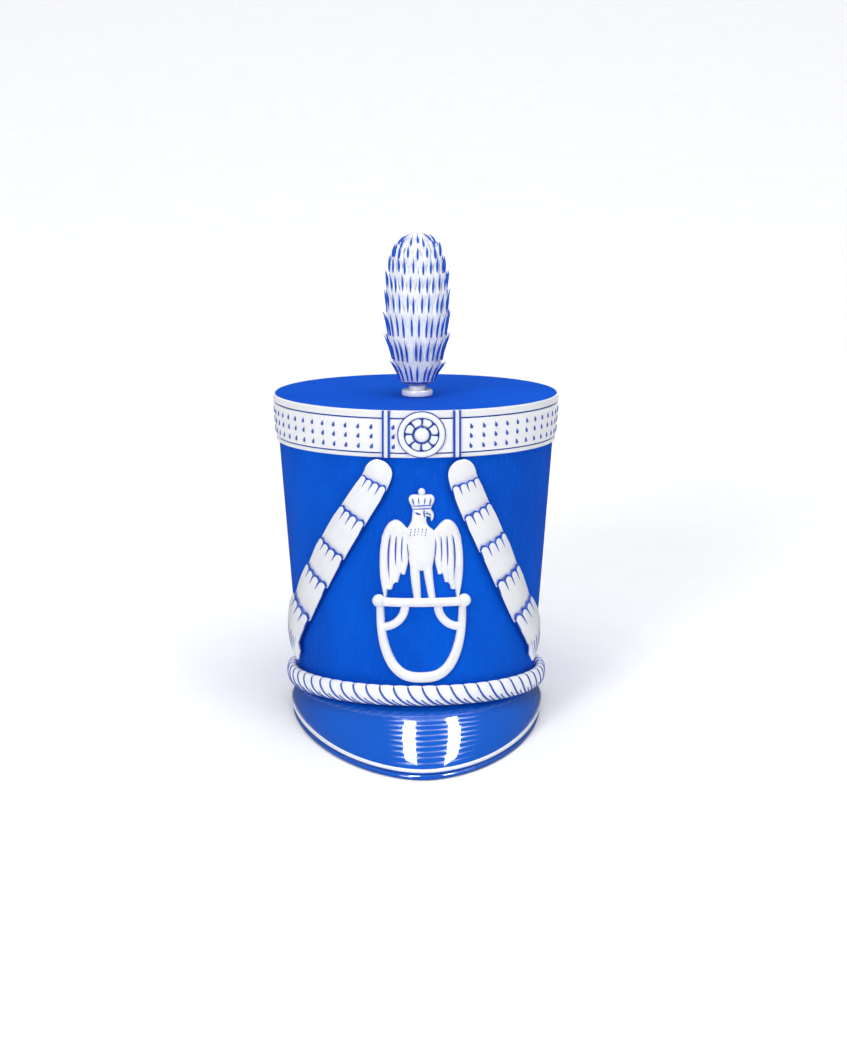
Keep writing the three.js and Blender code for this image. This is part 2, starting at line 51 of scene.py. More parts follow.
mm_per_metre = 1000
crown_height = 220.1
rim_half_width = 87.5
rim_half_depth = 103
top_radius = 105.3
top_leather = 2
peak_tip = 43.5
peak_drop = 47.5
rest_slope = peak_drop / (2 * rim_half_depth + peak_tip)
lean = math.atan(rest_slope)
laid_back = np.array([
    [1, 0, 0],
    [0, math.cos(lean), math.sin(lean)],
    [0, -math.sin(lean), math.cos(lean)],
])
low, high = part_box("crown_top")
top_middle = mm_per_metre * (np.array(low) + np.array(high)) / 2
rest_shift = top_middle - laid_back @ np.array([0, 0, crown_height - top_leather / 2])


def to_world(points):
    """Hat millimetres to the frame's metres."""
    return (np.asarray(points, float) @ laid_back.T + rest_shift) / mm_per_metre


# Felt crown
# A tall tube of hard wool felt, three millimetres thick, blocked oval at the head and round at the top.
# It is dyed blue and brushed upwards, and its rim and top are cut square and slightly rounded by wear.

felt_thick = 3
gap = 0.3
around_steps = 240
flare_width = (top_radius - rim_half_width) / crown_height
flare_depth = (top_radius - rim_half_depth) / crown_height


def spread(*values):
    """The values as arrays of one shape."""
    return np.broadcast_arrays(*(np.asarray(v, float) for v in values))


def once_round(count):
    """So many angles, evenly spaced over a full turn."""
    return np.linspace(0, 2 * math.pi, count, endpoint=False)


def looped(values):
    """The values with the first one once more at the end."""
    return np.append(values, values[0])


def unit(ways):
    """The directions, each with a length of one."""
    return ways / np.linalg.norm(ways, axis=-1, keepdims=True)


def half_width(height):
    """Half the crown's width at a height."""
    return rim_half_width + flare_width * height


def crown_point(turn, height, out):
    """Points on the crown: turn in radians from the centre front, out measured off the felt."""
    turn, height, out = spread(turn, height, out)
    width = half_width(height)
    depth = rim_half_depth + flare_depth * height
    sin, cos = np.sin(turn), np.cos(turn)
    along = np.stack([width * cos, depth * sin, 0 * sin], -1)
    up = np.stack([flare_width * sin, -flare_depth * cos, 1 + 0 * sin], -1)
    outward = unit(np.cross(along, up))
    return np.stack([width * sin, -depth * cos, height], -1) + outward * out[..., None]


def rounded(corners, radius, steps=4):
    """A closed outline of pairs with its corners rounded off."""
    corners = np.array(corners, float)
    points = []
    for before, corner, after in zip(np.roll(corners, 1, 0), corners, np.roll(corners, -1, 0)):
        back, on = before - corner, after - corner
        reach = min(radius, 0.49 * np.linalg.norm(back), 0.49 * np.linalg.norm(on))
        start = corner + reach * back / np.linalg.norm(back)
        end = corner + reach * on / np.linalg.norm(on)
        for t in np.linspace(0, 1, steps + 1):
            points.append((1 - t) ** 2 * start + 2 * t * (1 - t) * corner + t * t * end)
    return np.array(points)


def size_pairs(first, second):
    """Two surface sizes for each corner of a body, for its material to read."""
    return np.stack(spread(first, second), -1)


def lofted(rings, sizes=None, closed=False, tint=0.0):
    """A closed body through rings of points, with two surface sizes at each corner and one tint."""
    count, points = rings.shape[:2]
    steps = count if closed else count - 1
    if sizes is None:
        sizes = np.zeros((steps + 1, points + 1, 2))
    i, j = np.meshgrid(np.arange(steps), np.arange(points), indexing="ij")
    corners = [(i, j), (i, j + 1), (i + 1, j + 1), (i + 1, j)]
    quads = np.stack([(a % count) * points + b % points for a, b in corners], -1)
    faces = quads.reshape(-1, 4).tolist()
    corner_sizes = [np.stack([sizes[a, b] for a, b in corners], 2).reshape(-1, 2)]
    if not closed:
        first = list(range(points))[::-1]
        faces += [first, list(range((count - 1) * points, count * points))]
        corner_sizes += [sizes[0, first], sizes[-1, :points]]
    return rings.reshape(-1, 3), faces, np.concatenate(corner_sizes), tint


def in_scene(name, data):
    """A new object of the scene for this mesh, light or camera."""
    thing = bpy.data.objects.new(name, data)
    bpy.context.scene.collection.objects.link(thing)
    return thing


def add_piece(name, bodies, finish, nodes=(), sharp=40):
    """One piece of the hat from closed bodies, riding on the hat and standing for its CAD nodes."""
    points, faces, sizes, tints = [], [], [], []
    count = 0
    for body_points, body_faces, body_sizes, tint in bodies:
        points.append(body_points)
        faces += [[count + corner for corner in face] for face in body_faces]
        sizes.append(body_sizes)
        tints.append(np.full(len(body_points), tint))
        count += len(body_points)
    mesh = bpy.data.meshes.new(name)
    mesh.from_pydata(to_world(np.concatenate(points)).tolist(), [], faces)
    layer = mesh.uv_layers.new(name="size")
    layer.data.foreach_set("uv", np.concatenate(sizes).astype(np.float32).ravel())
    tint_layer = mesh.attributes.new("tint", "FLOAT", "POINT")
    tint_layer.data.foreach_set("value", np.concatenate(tints).astype(np.float32))
    shape = bmesh.new()
    shape.from_mesh(mesh)
    bmesh.ops.remove_doubles(shape, verts=shape.verts, dist=1e-7)
    bmesh.ops.recalc_face_normals(shape, faces=shape.faces)
    shape.to_mesh(mesh)
    shape.free()
    mesh.polygons.foreach_set("use_smooth", [True] * len(mesh.polygons))
    mesh.set_sharp_from_angle(angle=math.radians(sharp))
    piece = in_scene(name, mesh)
    mesh.materials.append(finish.material)
    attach(piece, "root")
    if nodes:
        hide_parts(*nodes)
    return piece


def hoop(outline, rounding):
    """A band round the crown: its outline is a list of height and out pairs."""
    section = rounded(outline, rounding)
    rings = crown_point(once_round(around_steps)[:, None], section[:, 0], section[:, 1])
    heights = looped(section[:, 0])
    run = np.linspace(0, 2 * math.pi * top_radius, around_steps + 1)
    return lofted(rings, size_pairs(run[:, None], heights), closed=True)


def dyed(red, green, blue):
    """A dyed or painted colour by its screen value, from 0 to 255."""
    share = [v / 255 for v in (red, green, blue)]
    return tuple(v / 12.92 if v <= 0.04045 else ((v + 0.055) / 1.055) ** 2.4 for v in share) + (1.0,)


class Value:
    """A shader value that takes part in sums, each of which adds its Math node."""

    def __init__(self, finish, socket):
        self.finish = finish
        self.socket = socket

    def __add__(self, other):
        return self.finish.math("ADD", self, other)

    def __radd__(self, other):
        return self.finish.math("ADD", other, self)

    def __sub__(self, other):
        return self.finish.math("SUBTRACT", self, other)

    def __rsub__(self, other):
        return self.finish.math("SUBTRACT", other, self)

    def __mul__(self, other):
        return self.finish.math("MULTIPLY", self, other)

    def __rmul__(self, other):
        return self.finish.math("MULTIPLY", other, self)

    def __abs__(self):
        return self.finish.math("ABSOLUTE", self)


class Finish:
    """A material of the hat, whose fixed values are given by name."""

    def __init__(self, name, **fixed):
        self.material = bpy.data.materials.new(name)
        self.material.use_nodes = True
        self.tree = self.material.node_tree
        self.surface = self.tree.nodes["Principled BSDF"]
        for socket, value in fixed.items():
            self.surface.inputs[socket.replace("_", " ")].default_value = value

    def node(self, kind, settings, inputs, output=0):
        """A node with its settings, then the values or links of its sockets, as one of its outputs."""
        node = self.tree.nodes.new(kind)
        for setting, value in settings.items():
            setattr(node, setting, value)
        for socket, value in inputs.items():
            if isinstance(value, Value):
                self.tree.links.new(value.socket, node.inputs[socket])
            else:
                node.inputs[socket].default_value = value
        return Value(self, node.outputs[output])

    def math(self, operation, *values):
        """The result of a Math node."""
        return self.node("ShaderNodeMath", {"operation": operation}, dict(enumerate(values)))

    def where(self, stretch=(1, 1, 1)):
        """The place on the hat in metres, stretched along each axis."""
        place = self.node("ShaderNodeTexCoord", {}, {}, "Object")
        return self.node("ShaderNodeVectorMath", {"operation": "MULTIPLY"}, {0: place, 1: stretch})

    def sizes(self):
        """The two sizes that the mesh carries."""
        pair = self.node("ShaderNodeUVMap", {"uv_map": "size"}, {})
        first = self.node("ShaderNodeSeparateXYZ", {}, {0: pair}, 0)
        second = self.node("ShaderNodeSeparateXYZ", {}, {0: pair}, 1)
        return first, second

    def tint(self):
        """The tint that each body of the mesh carries."""
        return self.node("ShaderNodeAttribute", {"attribute_name": "tint"}, {}, "Fac")

    def noise(self, scale, detail=3, stretch=(1, 1, 1)):
        """Uneven patches, from 0 to 1; the scale counts them over a metre."""
        inputs = {"Vector": self.where(stretch), "Scale": scale, "Detail": detail, "Roughness": 0.55}
        return self.node("ShaderNodeTexNoise", {}, inputs, "Fac")

    def ridges(self, along, spacing):
        """Rounded ridges at a spacing, from 0 in the grooves to 1."""
        return abs(self.math("SINE", along * (math.pi / spacing)))

    def step(self, value, start, end, low=0.0, high=1.0):
        """A soft step of the value from low to high between two levels."""
        settings = {"interpolation_type": "SMOOTHSTEP"}
        names = ("Value", "From Min", "From Max", "To Min", "To Max")
        return self.node("ShaderNodeMapRange", settings, dict(zip(names, (value, start, end, low, high))))

    def mix(self, share, first, second):
        """Two colours mixed by a share."""
        return self.node("ShaderNodeMix", {"data_type": "RGBA"}, {0: share, 6: first, 7: second}, 2)

    def colour(self, share, first, second):
        """The surface's own colour, mixed from two by a share."""
        self.feed("Base Color", self.mix(share, first, second))

    def bump(self, height, depth):
        """A bump of so many millimetres, on the surface's normal."""
        inputs = {"Height": height, "Distance": depth / mm_per_metre}
        self.feed("Normal", self.node("ShaderNodeBump", {}, inputs, "Normal"))

    def feed(self, socket, value):
        """Links a value to one of the surface's sockets."""
        self.tree.links.new(value.socket, self.surface.inputs[socket])


felt = Finish("blue_felt", Specular_IOR_Level=0.08)
cloud = felt.noise(14, 4, (1, 1, 0.5))
nap = felt.noise(420, 4, (1, 1, 0.22))
fibre = felt.noise(1500, 2)
flecks = felt.step(felt.noise(230, 2, (1, 1, 0.35)), 0.66, 0.74)
shade = felt.mix(felt.step(cloud, 0.34, 0.66), dyed(0, 76, 192), dyed(0, 88, 210))
felt.colour(felt.step(nap, 0.45, 0.8) * 0.35 + flecks * 0.25, shade, dyed(16, 104, 226))
felt.feed("Roughness", 0.8 + nap * 0.2)
felt.bump(nap * 0.7 + fibre * 0.3 + cloud * 1.5, 0.5)

felt_top = crown_height - top_leather - gap
shell_outline = [(0, 0), (0, -felt_thick), (felt_top, -felt_thick), (felt_top, 0)]
add_piece("crown_felt", [hoop(shell_outline, 1)], felt, ["crown_shell"])

# Leather top
# A flat disc of cow leather, two millimetres thick, set into the top of the felt and glued and sewn
# there. It is dyed the same blue, with a fine grain and a satin wax finish.


def turned(section, centre=(0, 0), steps=96):
    """A body turned round an upright axis: its section is a list of radius and height pairs."""
    section = np.array(section, float)
    angles = once_round(steps)[:, None]
    x = centre[0] + section[:, 0] * np.sin(angles)
    y = centre[1] - section[:, 0] * np.cos(angles)
    rings = np.stack(spread(x, y, section[:, 1]), -1)
    heights = looped(section[:, 1])
    turn = np.linspace(0, 1, steps + 1)
    return lofted(rings, size_pairs(turn[:, None], heights), closed=True)


def round_section(outline, rounding):
    """The section of a disc with its rim corners rounded: the outline starts and ends on the axis."""
    mirrored = [(-r, h) for r, h in reversed(outline) if r > 0]
    whole = rounded(list(outline) + mirrored, rounding)
    kept = whole[whole[:, 0] > 1e-6]
    start, end = outline[0], outline[-1]
    order = np.argsort(np.arctan2(kept[:, 0], -(kept[:, 1] - (start[1] + end[1]) / 2)))
    return np.concatenate([[start], kept[order], [end]])


disc_leather = Finish("top_leather", Specular_IOR_Level=0.06)
pebbles = {"Vector": disc_leather.where(), "Scale": 620.0}
grain = disc_leather.node("ShaderNodeTexVoronoi", {"feature": "DISTANCE_TO_EDGE"}, pebbles, "Distance")
drift = disc_leather.noise(11, 4)
wrinkle = disc_leather.noise(90, 4)
disc_leather.colour(drift, dyed(0, 70, 186), dyed(0, 90, 214))
disc_leather.feed("Roughness", 0.6 + wrinkle * 0.25)
disc_leather.bump(disc_leather.step(grain, 0.0, 0.25) + wrinkle * 1.2, 0.12)

disc_low = crown_height - top_leather
disc_edge = [(top_radius, disc_low), (top_radius, crown_height)]
disc = turned(round_section([(0, disc_low)] + disc_edge + [(0, crown_height)], 0.8), steps=around_steps)
add_piece("crown_top_leather", [disc], disc_leather, ["crown_top"])

# Lace and braids
# A wide white lace of ribbed silk, woven flat and sewn round the top of the felt, between two narrow
# white braids. A line of felt shows between them.

lace_thick = 1.5
band_out = gap + lace_thick
white_thread = dyed(250, 251, 254)
shadow_thread = dyed(208, 216, 233)


def woven(name, rib, weft, depth):
    """White silk with upright ribs and a weft across them; both are spacings in millimetres."""
    cloth = Finish(name, Sheen_Weight=0.2, Specular_IOR_Level=0.3)
    run, height = cloth.sizes()
    ribs = cloth.ridges(run, rib)
    every_other = cloth.math("GREATER_THAN", cloth.math("SINE", run * (math.pi / rib)), 0.0)
    relief = ribs * 0.7 + cloth.ridges(height + every_other * (weft / 2), weft) * 0.5
    drift = cloth.noise(60)
    # Painted shade: the grooves between the ribs and the weft are coloured darker, with random patches.
    raised = cloth.step(relief + drift * 0.4, 0.2, 0.75)
    cloth.colour(raised, shadow_thread, white_thread)
    cloth.feed("Roughness", 0.82 - ribs * 0.15)
    cloth.bump(relief + drift * 0.3, depth)
    return cloth


lace_cloth = woven("white_lace", 1.1, 0.75, 0.22)
braid_cloth = woven("white_braid", 0.8, 1.4, 0.3)
for name, node, bottom, top, rounding, cloth in (
    ("lace_band", "band_lace", 189, 213.5, 0.5, lace_cloth),
    ("braid_upper", "band_edge_upper", 214.6, crown_height, 0.7, braid_cloth),
    ("braid_lower", "band_edge_lower", 185.2, 188, 0.7, braid_cloth),
):
    outline = [(bottom, gap), (bottom, band_out), (top, band_out), (top, gap)]
    add_piece(name, [hoop(outline, rounding)], cloth, [node])

# Embroidered drops
# Three rows of small blue drops in satin stitch on the lace, point up. Each is a low padded mound of
# silk thread, and they stand in upright columns all round the band.

drop_length = 4.3
drop_width = 2.3
drop_rise = 0.6
drop_lean = math.radians(20)
drop_rows = (208.0, 201.0, 193.6)
first_column = math.radians(20.2)
column_count = 58
cockade_column = 2 * math.pi - math.asin(20.2 / 104)
stitch_spacing = 0.35

silk = Finish("blue_silk", Sheen_Weight=0.3, Specular_IOR_Level=0.5)
stitches = silk.ridges(silk.sizes()[1], stitch_spacing)
# Painted shade: the grooves between the satin stitches are coloured darker.
silk.colour(stitches, dyed(2, 60, 164), dyed(4, 80, 196))
silk.feed("Roughness", 0.5 - stitches * 0.12)
silk.bump(stitches, 0.1)


def drop_body(turn, height, tilt):
    """A padded drop on the lace, its point up and leaning by the tilt."""
    bend = once_round(16)
    outline_x = 0.77 * drop_width * np.sin(bend) * np.sin(bend / 2) ** 1.5
    outline_z = 0.5 * drop_length * np.cos(bend)
    levels = [(1, 0), (1, 0.35), (0.86, 0.75), (0.5, 1)]
    rings, sizes = [], []
    for share, rise in levels:
        x = share * outline_x
        z = share * outline_z - 0.12 * drop_length * (1 - share)
        across = x * math.cos(tilt) + z * math.sin(tilt)
        upright = z * math.cos(tilt) - x * math.sin(tilt)
        rings.append(crown_point(turn + across / top_radius, height + upright, band_out + drop_rise * rise))
        sizes.append(size_pairs(looped(x), looped(z)))
    return lofted(np.array(rings), np.array(sizes))


columns = np.linspace(first_column, 2 * math.pi - first_column, column_count)
drops = []
for turn in np.append(columns, cockade_column):
    side = 1 if turn < math.pi else -1
    drops += [drop_body(turn, height, -side * drop_lean) for height in drop_rows]
add_piece("lace_drops", drops, silk)

# Loops over the band
# Two narrow upright straps of doubled lace with a blue edge woven along each side. They cross the band
# beside the cockade, and the tips of the chin scales hang just below them.

loop_x = 25.4
loop_width = 5.8
loop_thick = 1.2
loop_out = band_out + gap
loop_edge = 1.65


def front_point(x, height, out):
    """Points on the crown's front by their distance from its centre line."""
    return crown_point(np.arcsin(np.asarray(x, float) / half_width(height)), height, out)


strap_cloth = Finish("edged_lace", Sheen_Weight=0.2, Specular_IOR_Level=0.3)
across, along = strap_cloth.sizes()
twill = strap_cloth.ridges(along + across, 0.9)
pale_half = loop_width / 2 - loop_edge
edge = strap_cloth.step(abs(across), pale_half - 0.1, pale_half + 0.1)
# Painted shade: the twill's grooves are coloured darker, on the white middle and on the blue edges.
pale = strap_cloth.mix(twill, shadow_thread, white_thread)
dark = strap_cloth.mix(twill, dyed(2, 62, 168), dyed(4, 84, 202))
strap_cloth.colour(edge, pale, dark)
strap_cloth.feed("Roughness", 0.8 - twill * 0.1)
strap_cloth.bump(twill - edge * 0.5, 0.2)

loop_low, loop_high = 185.2, crown_height
half = loop_width / 2
section = rounded([(-half, 0), (half, 0), (half, loop_thick), (-half, loop_thick)], 0.55)
heights = np.linspace(loop_low, loop_high, 40)[:, None]
from_end = np.minimum(heights - loop_low, loop_high - heights)
tuck = 1 - 0.6 * np.clip(1 - from_end / 0.8, 0, 1) ** 2
sizes = size_pairs(looped(section[:, 0]), heights)
for name, node, side in (("strap_left", "loop_left", -1), ("strap_right", "loop_right", 1)):
    rings = front_point(side * loop_x + section[:, 0], heights, loop_out + section[:, 1] * tuck)
    add_piece(name, [lofted(rings, sizes)], strap_cloth, [node])

# Cockade
# A round rosette on the front of the band: a disc of blue silk, a padded white ring, eight pleated white
# petals with the blue showing between them, and a white metal button that holds them to the felt.

cockade_height = 202.6
cockade_radius = 17.4
ring_inner, ring_outer = 12.6, 16.5
petal_inner, petal_outer = 6.9, 11.7
petal_count = 8
petal_gap = 0.07
petal_rise = 1.5
petal_swirl = 0.05
button_radius = 6.1
base_out = band_out + gap
base_top = base_out + 1
layer_out = base_top + gap


def round_face(section, steps=96, waves=0, depth=0.0):
    """A round body on the cockade's middle: its section is a list of radius and out pairs."""
    section = np.array(section, float)
    angles = once_round(steps)[:, None]
    x = section[:, 0] * np.sin(angles)
    z = cockade_height + section[:, 0] * np.cos(angles)
    lift = section[:, 1] - layer_out
    pleat = 1 - depth * (0.5 - 0.5 * np.cos(waves * angles)) * np.clip(lift, 0, 1)
    rings = front_point(x, z, layer_out + lift * pleat)
    turn = np.linspace(0, 2 * math.pi, steps + 1)
    sizes = size_pairs(looped(section[:, 0]), turn[:, None])
    return lofted(rings, sizes, closed=True)


def pleated_ribbon(name, pleats_round, valley, ridge, roughness, sheen, depth):
    """Silk ribbon laid in so many fine pleats round the cockade."""
    ribbon = Finish(name, Sheen_Weight=sheen, Specular_IOR_Level=0.4)
    pleats = ribbon.ridges(ribbon.sizes()[1], 2 * math.pi / pleats_round)
    # Painted shade: the valley colour darkens the grooves of the pleats.
    ribbon.colour(pleats, valley, ridge)
    ribbon.feed("Roughness", roughness - pleats * 0.12)
    ribbon.bump(pleats, depth)
    return ribbon


ribbon_blue = pleated_ribbon("blue_ribbon", 72, dyed(0, 50, 150), dyed(4, 74, 190), 0.62, 0.3, 0.25)
ribbon_white = pleated_ribbon("white_ribbon", 80, dyed(214, 221, 236), white_thread, 0.6, 0.25, 0.12)

middle = (base_out + base_top) / 2
disc_line = [(0, base_out), (cockade_radius - 0.4, base_out), (cockade_radius, middle)]
disc_line += [(cockade_radius - 0.4, base_top), (0, base_top)]
add_piece("cockade_disc", [round_face(disc_line)], ribbon_blue, ["cockade_base"])

ring_middle = (ring_inner + ring_outer) / 2
ring_half = (ring_outer - ring_inner) / 2
ring_line = []
for angle in np.linspace(0, math.pi, 10):
    ring_line.append((ring_middle - ring_half * math.cos(angle), layer_out + 2.2 * math.sin(angle) ** 0.7))
rim = round_face(ring_line, steps=192, waves=48, depth=0.12)
add_piece("cockade_rim", [rim], ribbon_white, ["cockade_ring"])

petal_names = [f"cockade_petal_{i + 1}" for i in range(petal_count)]
petals = []
span = np.linspace(-1, 1, 13)
for i in range(petal_count):
    rings, sizes = [], []
    for reach in np.linspace(0, 1, 12):
        past_shoulder = max(0, (reach - 0.72) / 0.28)
        spread_here = (math.pi / petal_count - petal_gap) * math.sqrt(1 - 0.55 * past_shoulder**2)
        radius = petal_inner + (petal_outer - petal_inner) * reach
        middle = (i + 0.5) * 2 * math.pi / petal_count + petal_swirl * math.sin(math.pi * reach)
        angle = middle + span * spread_here
        swell = 0.45 + 0.55 * math.sin(math.pi * min(1, reach + 0.18))
        dome = petal_rise * swell * (1 - span**2) ** 0.3
        x, z = radius * np.sin(angle), cockade_height + radius * np.cos(angle)
        upper = front_point(x, z, layer_out + 0.1 + dome)
        lower = front_point(x[1:-1], z[1:-1], layer_out)
        rings.append(np.concatenate([upper, lower[::-1]]))
        sizes.append(size_pairs(radius, np.concatenate([angle, angle[1:-1][::-1], angle[:1]])))
    petals.append(lofted(np.array(rings), np.array(sizes)))
add_piece("cockade_petals", petals, ribbon_white, petal_names)

# White metal
# The badge, the chin scales, the button and the plume's socket are cast or pressed brass, silvered and
# lacquered white. The badge's engraved lines are filled with dark blue enamel; the blue lines on the chin
# scales are painted shade.

metal_white = dyed(250, 251, 254)
metal_grey = dyed(234, 238, 246)
enamel_and_shade_blue = dyed(2, 80, 198)


def white_metal_finish(name, painted_shade_lines=None):
    """Lacquered white metal, slightly uneven, with lines of painted shade in blue where they are given."""
    metal = Finish(name, Specular_IOR_Level=0.4, Coat_Weight=0.2, Coat_Roughness=0.2)
    drift = metal.noise(26, 4)
    brushed = metal.noise(900, 2, (1, 1, 0.15))
    colour = metal.mix(metal.step(drift, 0.3, 0.5), metal_grey, metal_white)
    # These lines are painted shade, coloured in the enamel's blue.
    if painted_shade_lines:
        colour = metal.mix(painted_shade_lines(metal), colour, enamel_and_shade_blue)
    metal.feed("Base Color", colour)
    metal.feed("Roughness", 0.3 + drift * 0.12)
    metal.feed("Metallic", metal.step(drift, 0.3, 0.7, 0.05, 0.18))
    metal.bump(brushed * 0.3 + drift, 0.08)
    return metal


white_metal = white_metal_finish("white_metal")
enamel = Finish("blue_enamel", Specular_IOR_Level=0.6, Coat_Weight=0.6, Coat_Roughness=0.1)
pooled = enamel.noise(160, 2)
enamel.colour(pooled, dyed(0, 64, 174), enamel_and_shade_blue)
enamel.feed("Roughness", 0.3 + pooled * 0.1)

button = [(0, layer_out), (5.2, layer_out), (5.2, layer_out + 1.4)]
for angle in np.linspace(0.05, math.pi / 2, 9):
    button.append((4.9 * math.cos(angle), layer_out + 1.9 + 2.3 * math.sin(angle)))
button[-1] = (0, button[-1][1])
add_piece("cockade_boss", [round_face(button)], white_metal, ["cockade_button"])
seat = [(5.3, layer_out), (button_radius, layer_out + 0.2), (button_radius, layer_out + 1.6)]
seat += [(5.7, layer_out + 2.0), (5.2, layer_out + 1.6)]
add_piece("cockade_boss_ring", [round_face(seat)], enamel)

# Plume socket and stem
# A low turned ring of white metal is riveted to the leather top. The plume's metal stem stands in it and
# comes out again to be cleaned.

plume_y = -25
socket_radius, socket_bore, socket_tall = 11.5, 6.3, 5
socket_foot = crown_height + gap
socket_top = socket_foot + socket_tall
stem_radius, stem_top = 6, 229.2

socket = [(socket_bore, socket_foot), (socket_radius, socket_foot)]
socket += [(socket_radius, socket_top), (socket_bore, socket_top)]
socket_body = turned(rounded(socket, 1.8, 6), (0, plume_y), 72)
add_piece("socket_ring", [socket_body], white_metal, ["plume_socket"])
stem = [(0, socket_foot), (stem_radius, socket_foot), (stem_radius, stem_top), (0, stem_top)]
stem_body = turned(round_section(stem, 0.5), (0, plume_y), 48)
add_piece("plume_post", [stem_body], white_metal, ["plume_stem"])

# Plume
# An upright plume of white cock feathers, bound on a core in tiers. A slim blue feather of painted shade
# stands out over each broad white one, point up, and fine white barbs fill the space between them.

plume_core = np.array([
    (229.5, 9.6), (232, 12.4), (240, 15.4), (256, 18.9), (272, 20.2),
    (292, 19.8), (310, 18.0), (326, 13.6), (336, 7.6), (340, 3),
])
plume_tiers = [
    {"tip": 246, "radius": 18.5, "streak": 14.5, "feathers": 21},
    {"tip": 266, "radius": 21.6, "streak": 16, "feathers": 24},
    {"tip": 283.5, "radius": 22.4, "streak": 15.5, "feathers": 25},
    {"tip": 299, "radius": 21.8, "streak": 13.5, "feathers": 24},
    {"tip": 312.5, "radius": 20.8, "streak": 12, "feathers": 23},
    {"tip": 324.5, "radius": 18.2, "streak": 10, "feathers": 20},
    {"tip": 334, "radius": 13.6, "streak": 8.5, "feathers": 15},
    {"tip": 339.5, "radius": 6, "streak": 6, "feathers": 9},
    {"tip": 341.5, "radius": 1, "streak": 5, "feathers": 4},
]
white, blue = 0.0, 1.0
feather_thick = 2.2
feather_reach = 1.9
spike_thick = 1.8
spike_reach = 1.1
plume_foot = 230
plume_head = 341
barb_count = 1500
barb_width = 1.5
barb_thick = 0.6
spike_width = 1.75
draw = np.random.default_rng(11)


def core_radius(height):
    """The core's radius at a height."""
    return float(np.interp(height, plume_core[:, 0], plume_core[:, 1]))


def feather(turn, root, tip, width, thick, bow, tint, steps=12):
    """A slim pointed feather from root to tip, both radius and height pairs, bowed outwards."""
    t = np.linspace(0, 1, steps)[:, None]
    radius = root[0] + (tip[0] - root[0]) * t**1.7 + bow * np.sin(math.pi * t)
    height = root[1] + (tip[1] - root[1]) * t
    taper = np.clip(np.sin(math.pi * np.clip(0.22 + 0.78 * t, 0, 1)) ** 1.5, 0.01, 1)
    bend = once_round(8)
    sideways = width / 2 * taper * np.cos(bend)
    outwards = thick / 2 * np.sqrt(taper) * np.sin(bend) + radius
    x = outwards * math.sin(turn) + sideways * math.cos(turn)
    y = plume_y - outwards * math.cos(turn) + sideways * math.sin(turn)
    return lofted(np.stack(spread(x, y, height), -1), tint=tint)


plume_finish = Finish("white_feather", Sheen_Weight=0.3, Specular_IOR_Level=0.25)
barbs = plume_finish.noise(900, 3, (1, 1, 0.12))
soft = plume_finish.mix(plume_finish.step(barbs, 0.3, 0.6), dyed(234, 239, 249), dyed(250, 252, 255))
# Painted shade: the slim feathers' blue stands for the shade between the white tufts.
shade_stroke_blue = plume_finish.mix(barbs, dyed(0, 68, 184), dyed(0, 94, 216))
plume_finish.colour(plume_finish.tint(), soft, shade_stroke_blue)
plume_finish.feed("Roughness", 0.7 + barbs * 0.25)
plume_finish.bump(barbs, 0.3)

core_heights = np.linspace(plume_core[0, 0], plume_core[-1, 0], 40)
core_section = [(0, core_heights[0])] + [(core_radius(h), h) for h in core_heights]
core_section.append((0, core_heights[-1] + 1))
feathers = [turned(core_section, (0, plume_y), 64)]
tier_tips = [plume_foot + 1] + [tier["tip"] for tier in plume_tiers]
tier_radii = [13] + [tier["radius"] for tier in plume_tiers]
for number, tier in enumerate(plume_tiers):
    count = tier["feathers"]
    width = 1.25 * 2 * math.pi * tier["radius"] / count
    for i in range(count):
        turn = 2 * math.pi * (i + 0.5 * (number % 2)) / count + draw.uniform(-0.05, 0.05)
        tip_height = tier["tip"] + draw.uniform(-1.1, 1.1)
        root_height = tip_height - (feather_reach * tier["streak"] + 3)
        root = (core_radius(max(root_height, plume_foot)) - 0.5, max(root_height, plume_foot + 0.5))
        tip = (tier["radius"] + draw.uniform(-0.2, 0.6), tip_height)
        feathers.append(feather(turn, root, tip, width, feather_thick, 1.2, white))
        # Then the slim feather, blue as painted shade.
        root_height = max(tip_height - spike_reach * tier["streak"], plume_foot + 2.5)
        root = (float(np.interp(root_height, tier_tips, tier_radii)) - 0.2, root_height)
        tip = (tier["radius"] + draw.uniform(2.2, 3.8), tip_height + draw.uniform(0, 1.5))
        feathers.append(feather(turn, root, tip, spike_width, spike_thick, 0.2, blue))
for i in range(barb_count):
    root_height = draw.uniform(plume_foot, plume_head - 8)
    root = (core_radius(root_height) + 0.4, root_height)
    tip_height = min(root_height + draw.uniform(9, 15), plume_head)
    tip = (core_radius(tip_height) + draw.uniform(0.2, 1.4), tip_height)
    turn = draw.uniform(0, 2 * math.pi)
    feathers.append(feather(turn, root, tip, barb_width, barb_thick, 0.5, white, 5))
add_piece("plume_feathers", feathers, plume_finish, ["plume"], sharp=60)

# Plume binding
# Three turns of waxed blue thread are whipped tightly round the foot of the feathers and knotted. They hold
# the feathers on the stem and hide where they are cut.

binding_turns = 3
binding_radius = 9.2
binding_foot = 229.6
thread_radius = 0.6

binding = []
for number in range(binding_turns):
    section = []
    for angle in once_round(10):
        reach = binding_radius + 1.3 * number + thread_radius * math.cos(angle)
        section.append((reach, binding_foot + number + thread_radius * math.sin(angle)))
    binding.append(turned(section, (0, plume_y), 64))
add_piece("plume_thread", binding, silk)

# Chin scales
# On each side a blue leather strap carries six pressed plates of white metal that lap like shingles. Worn
# up, the straps make a V on the front. The upper edge of each plate but the first has four fingers, with
# blue lines of painted shade along and between them.

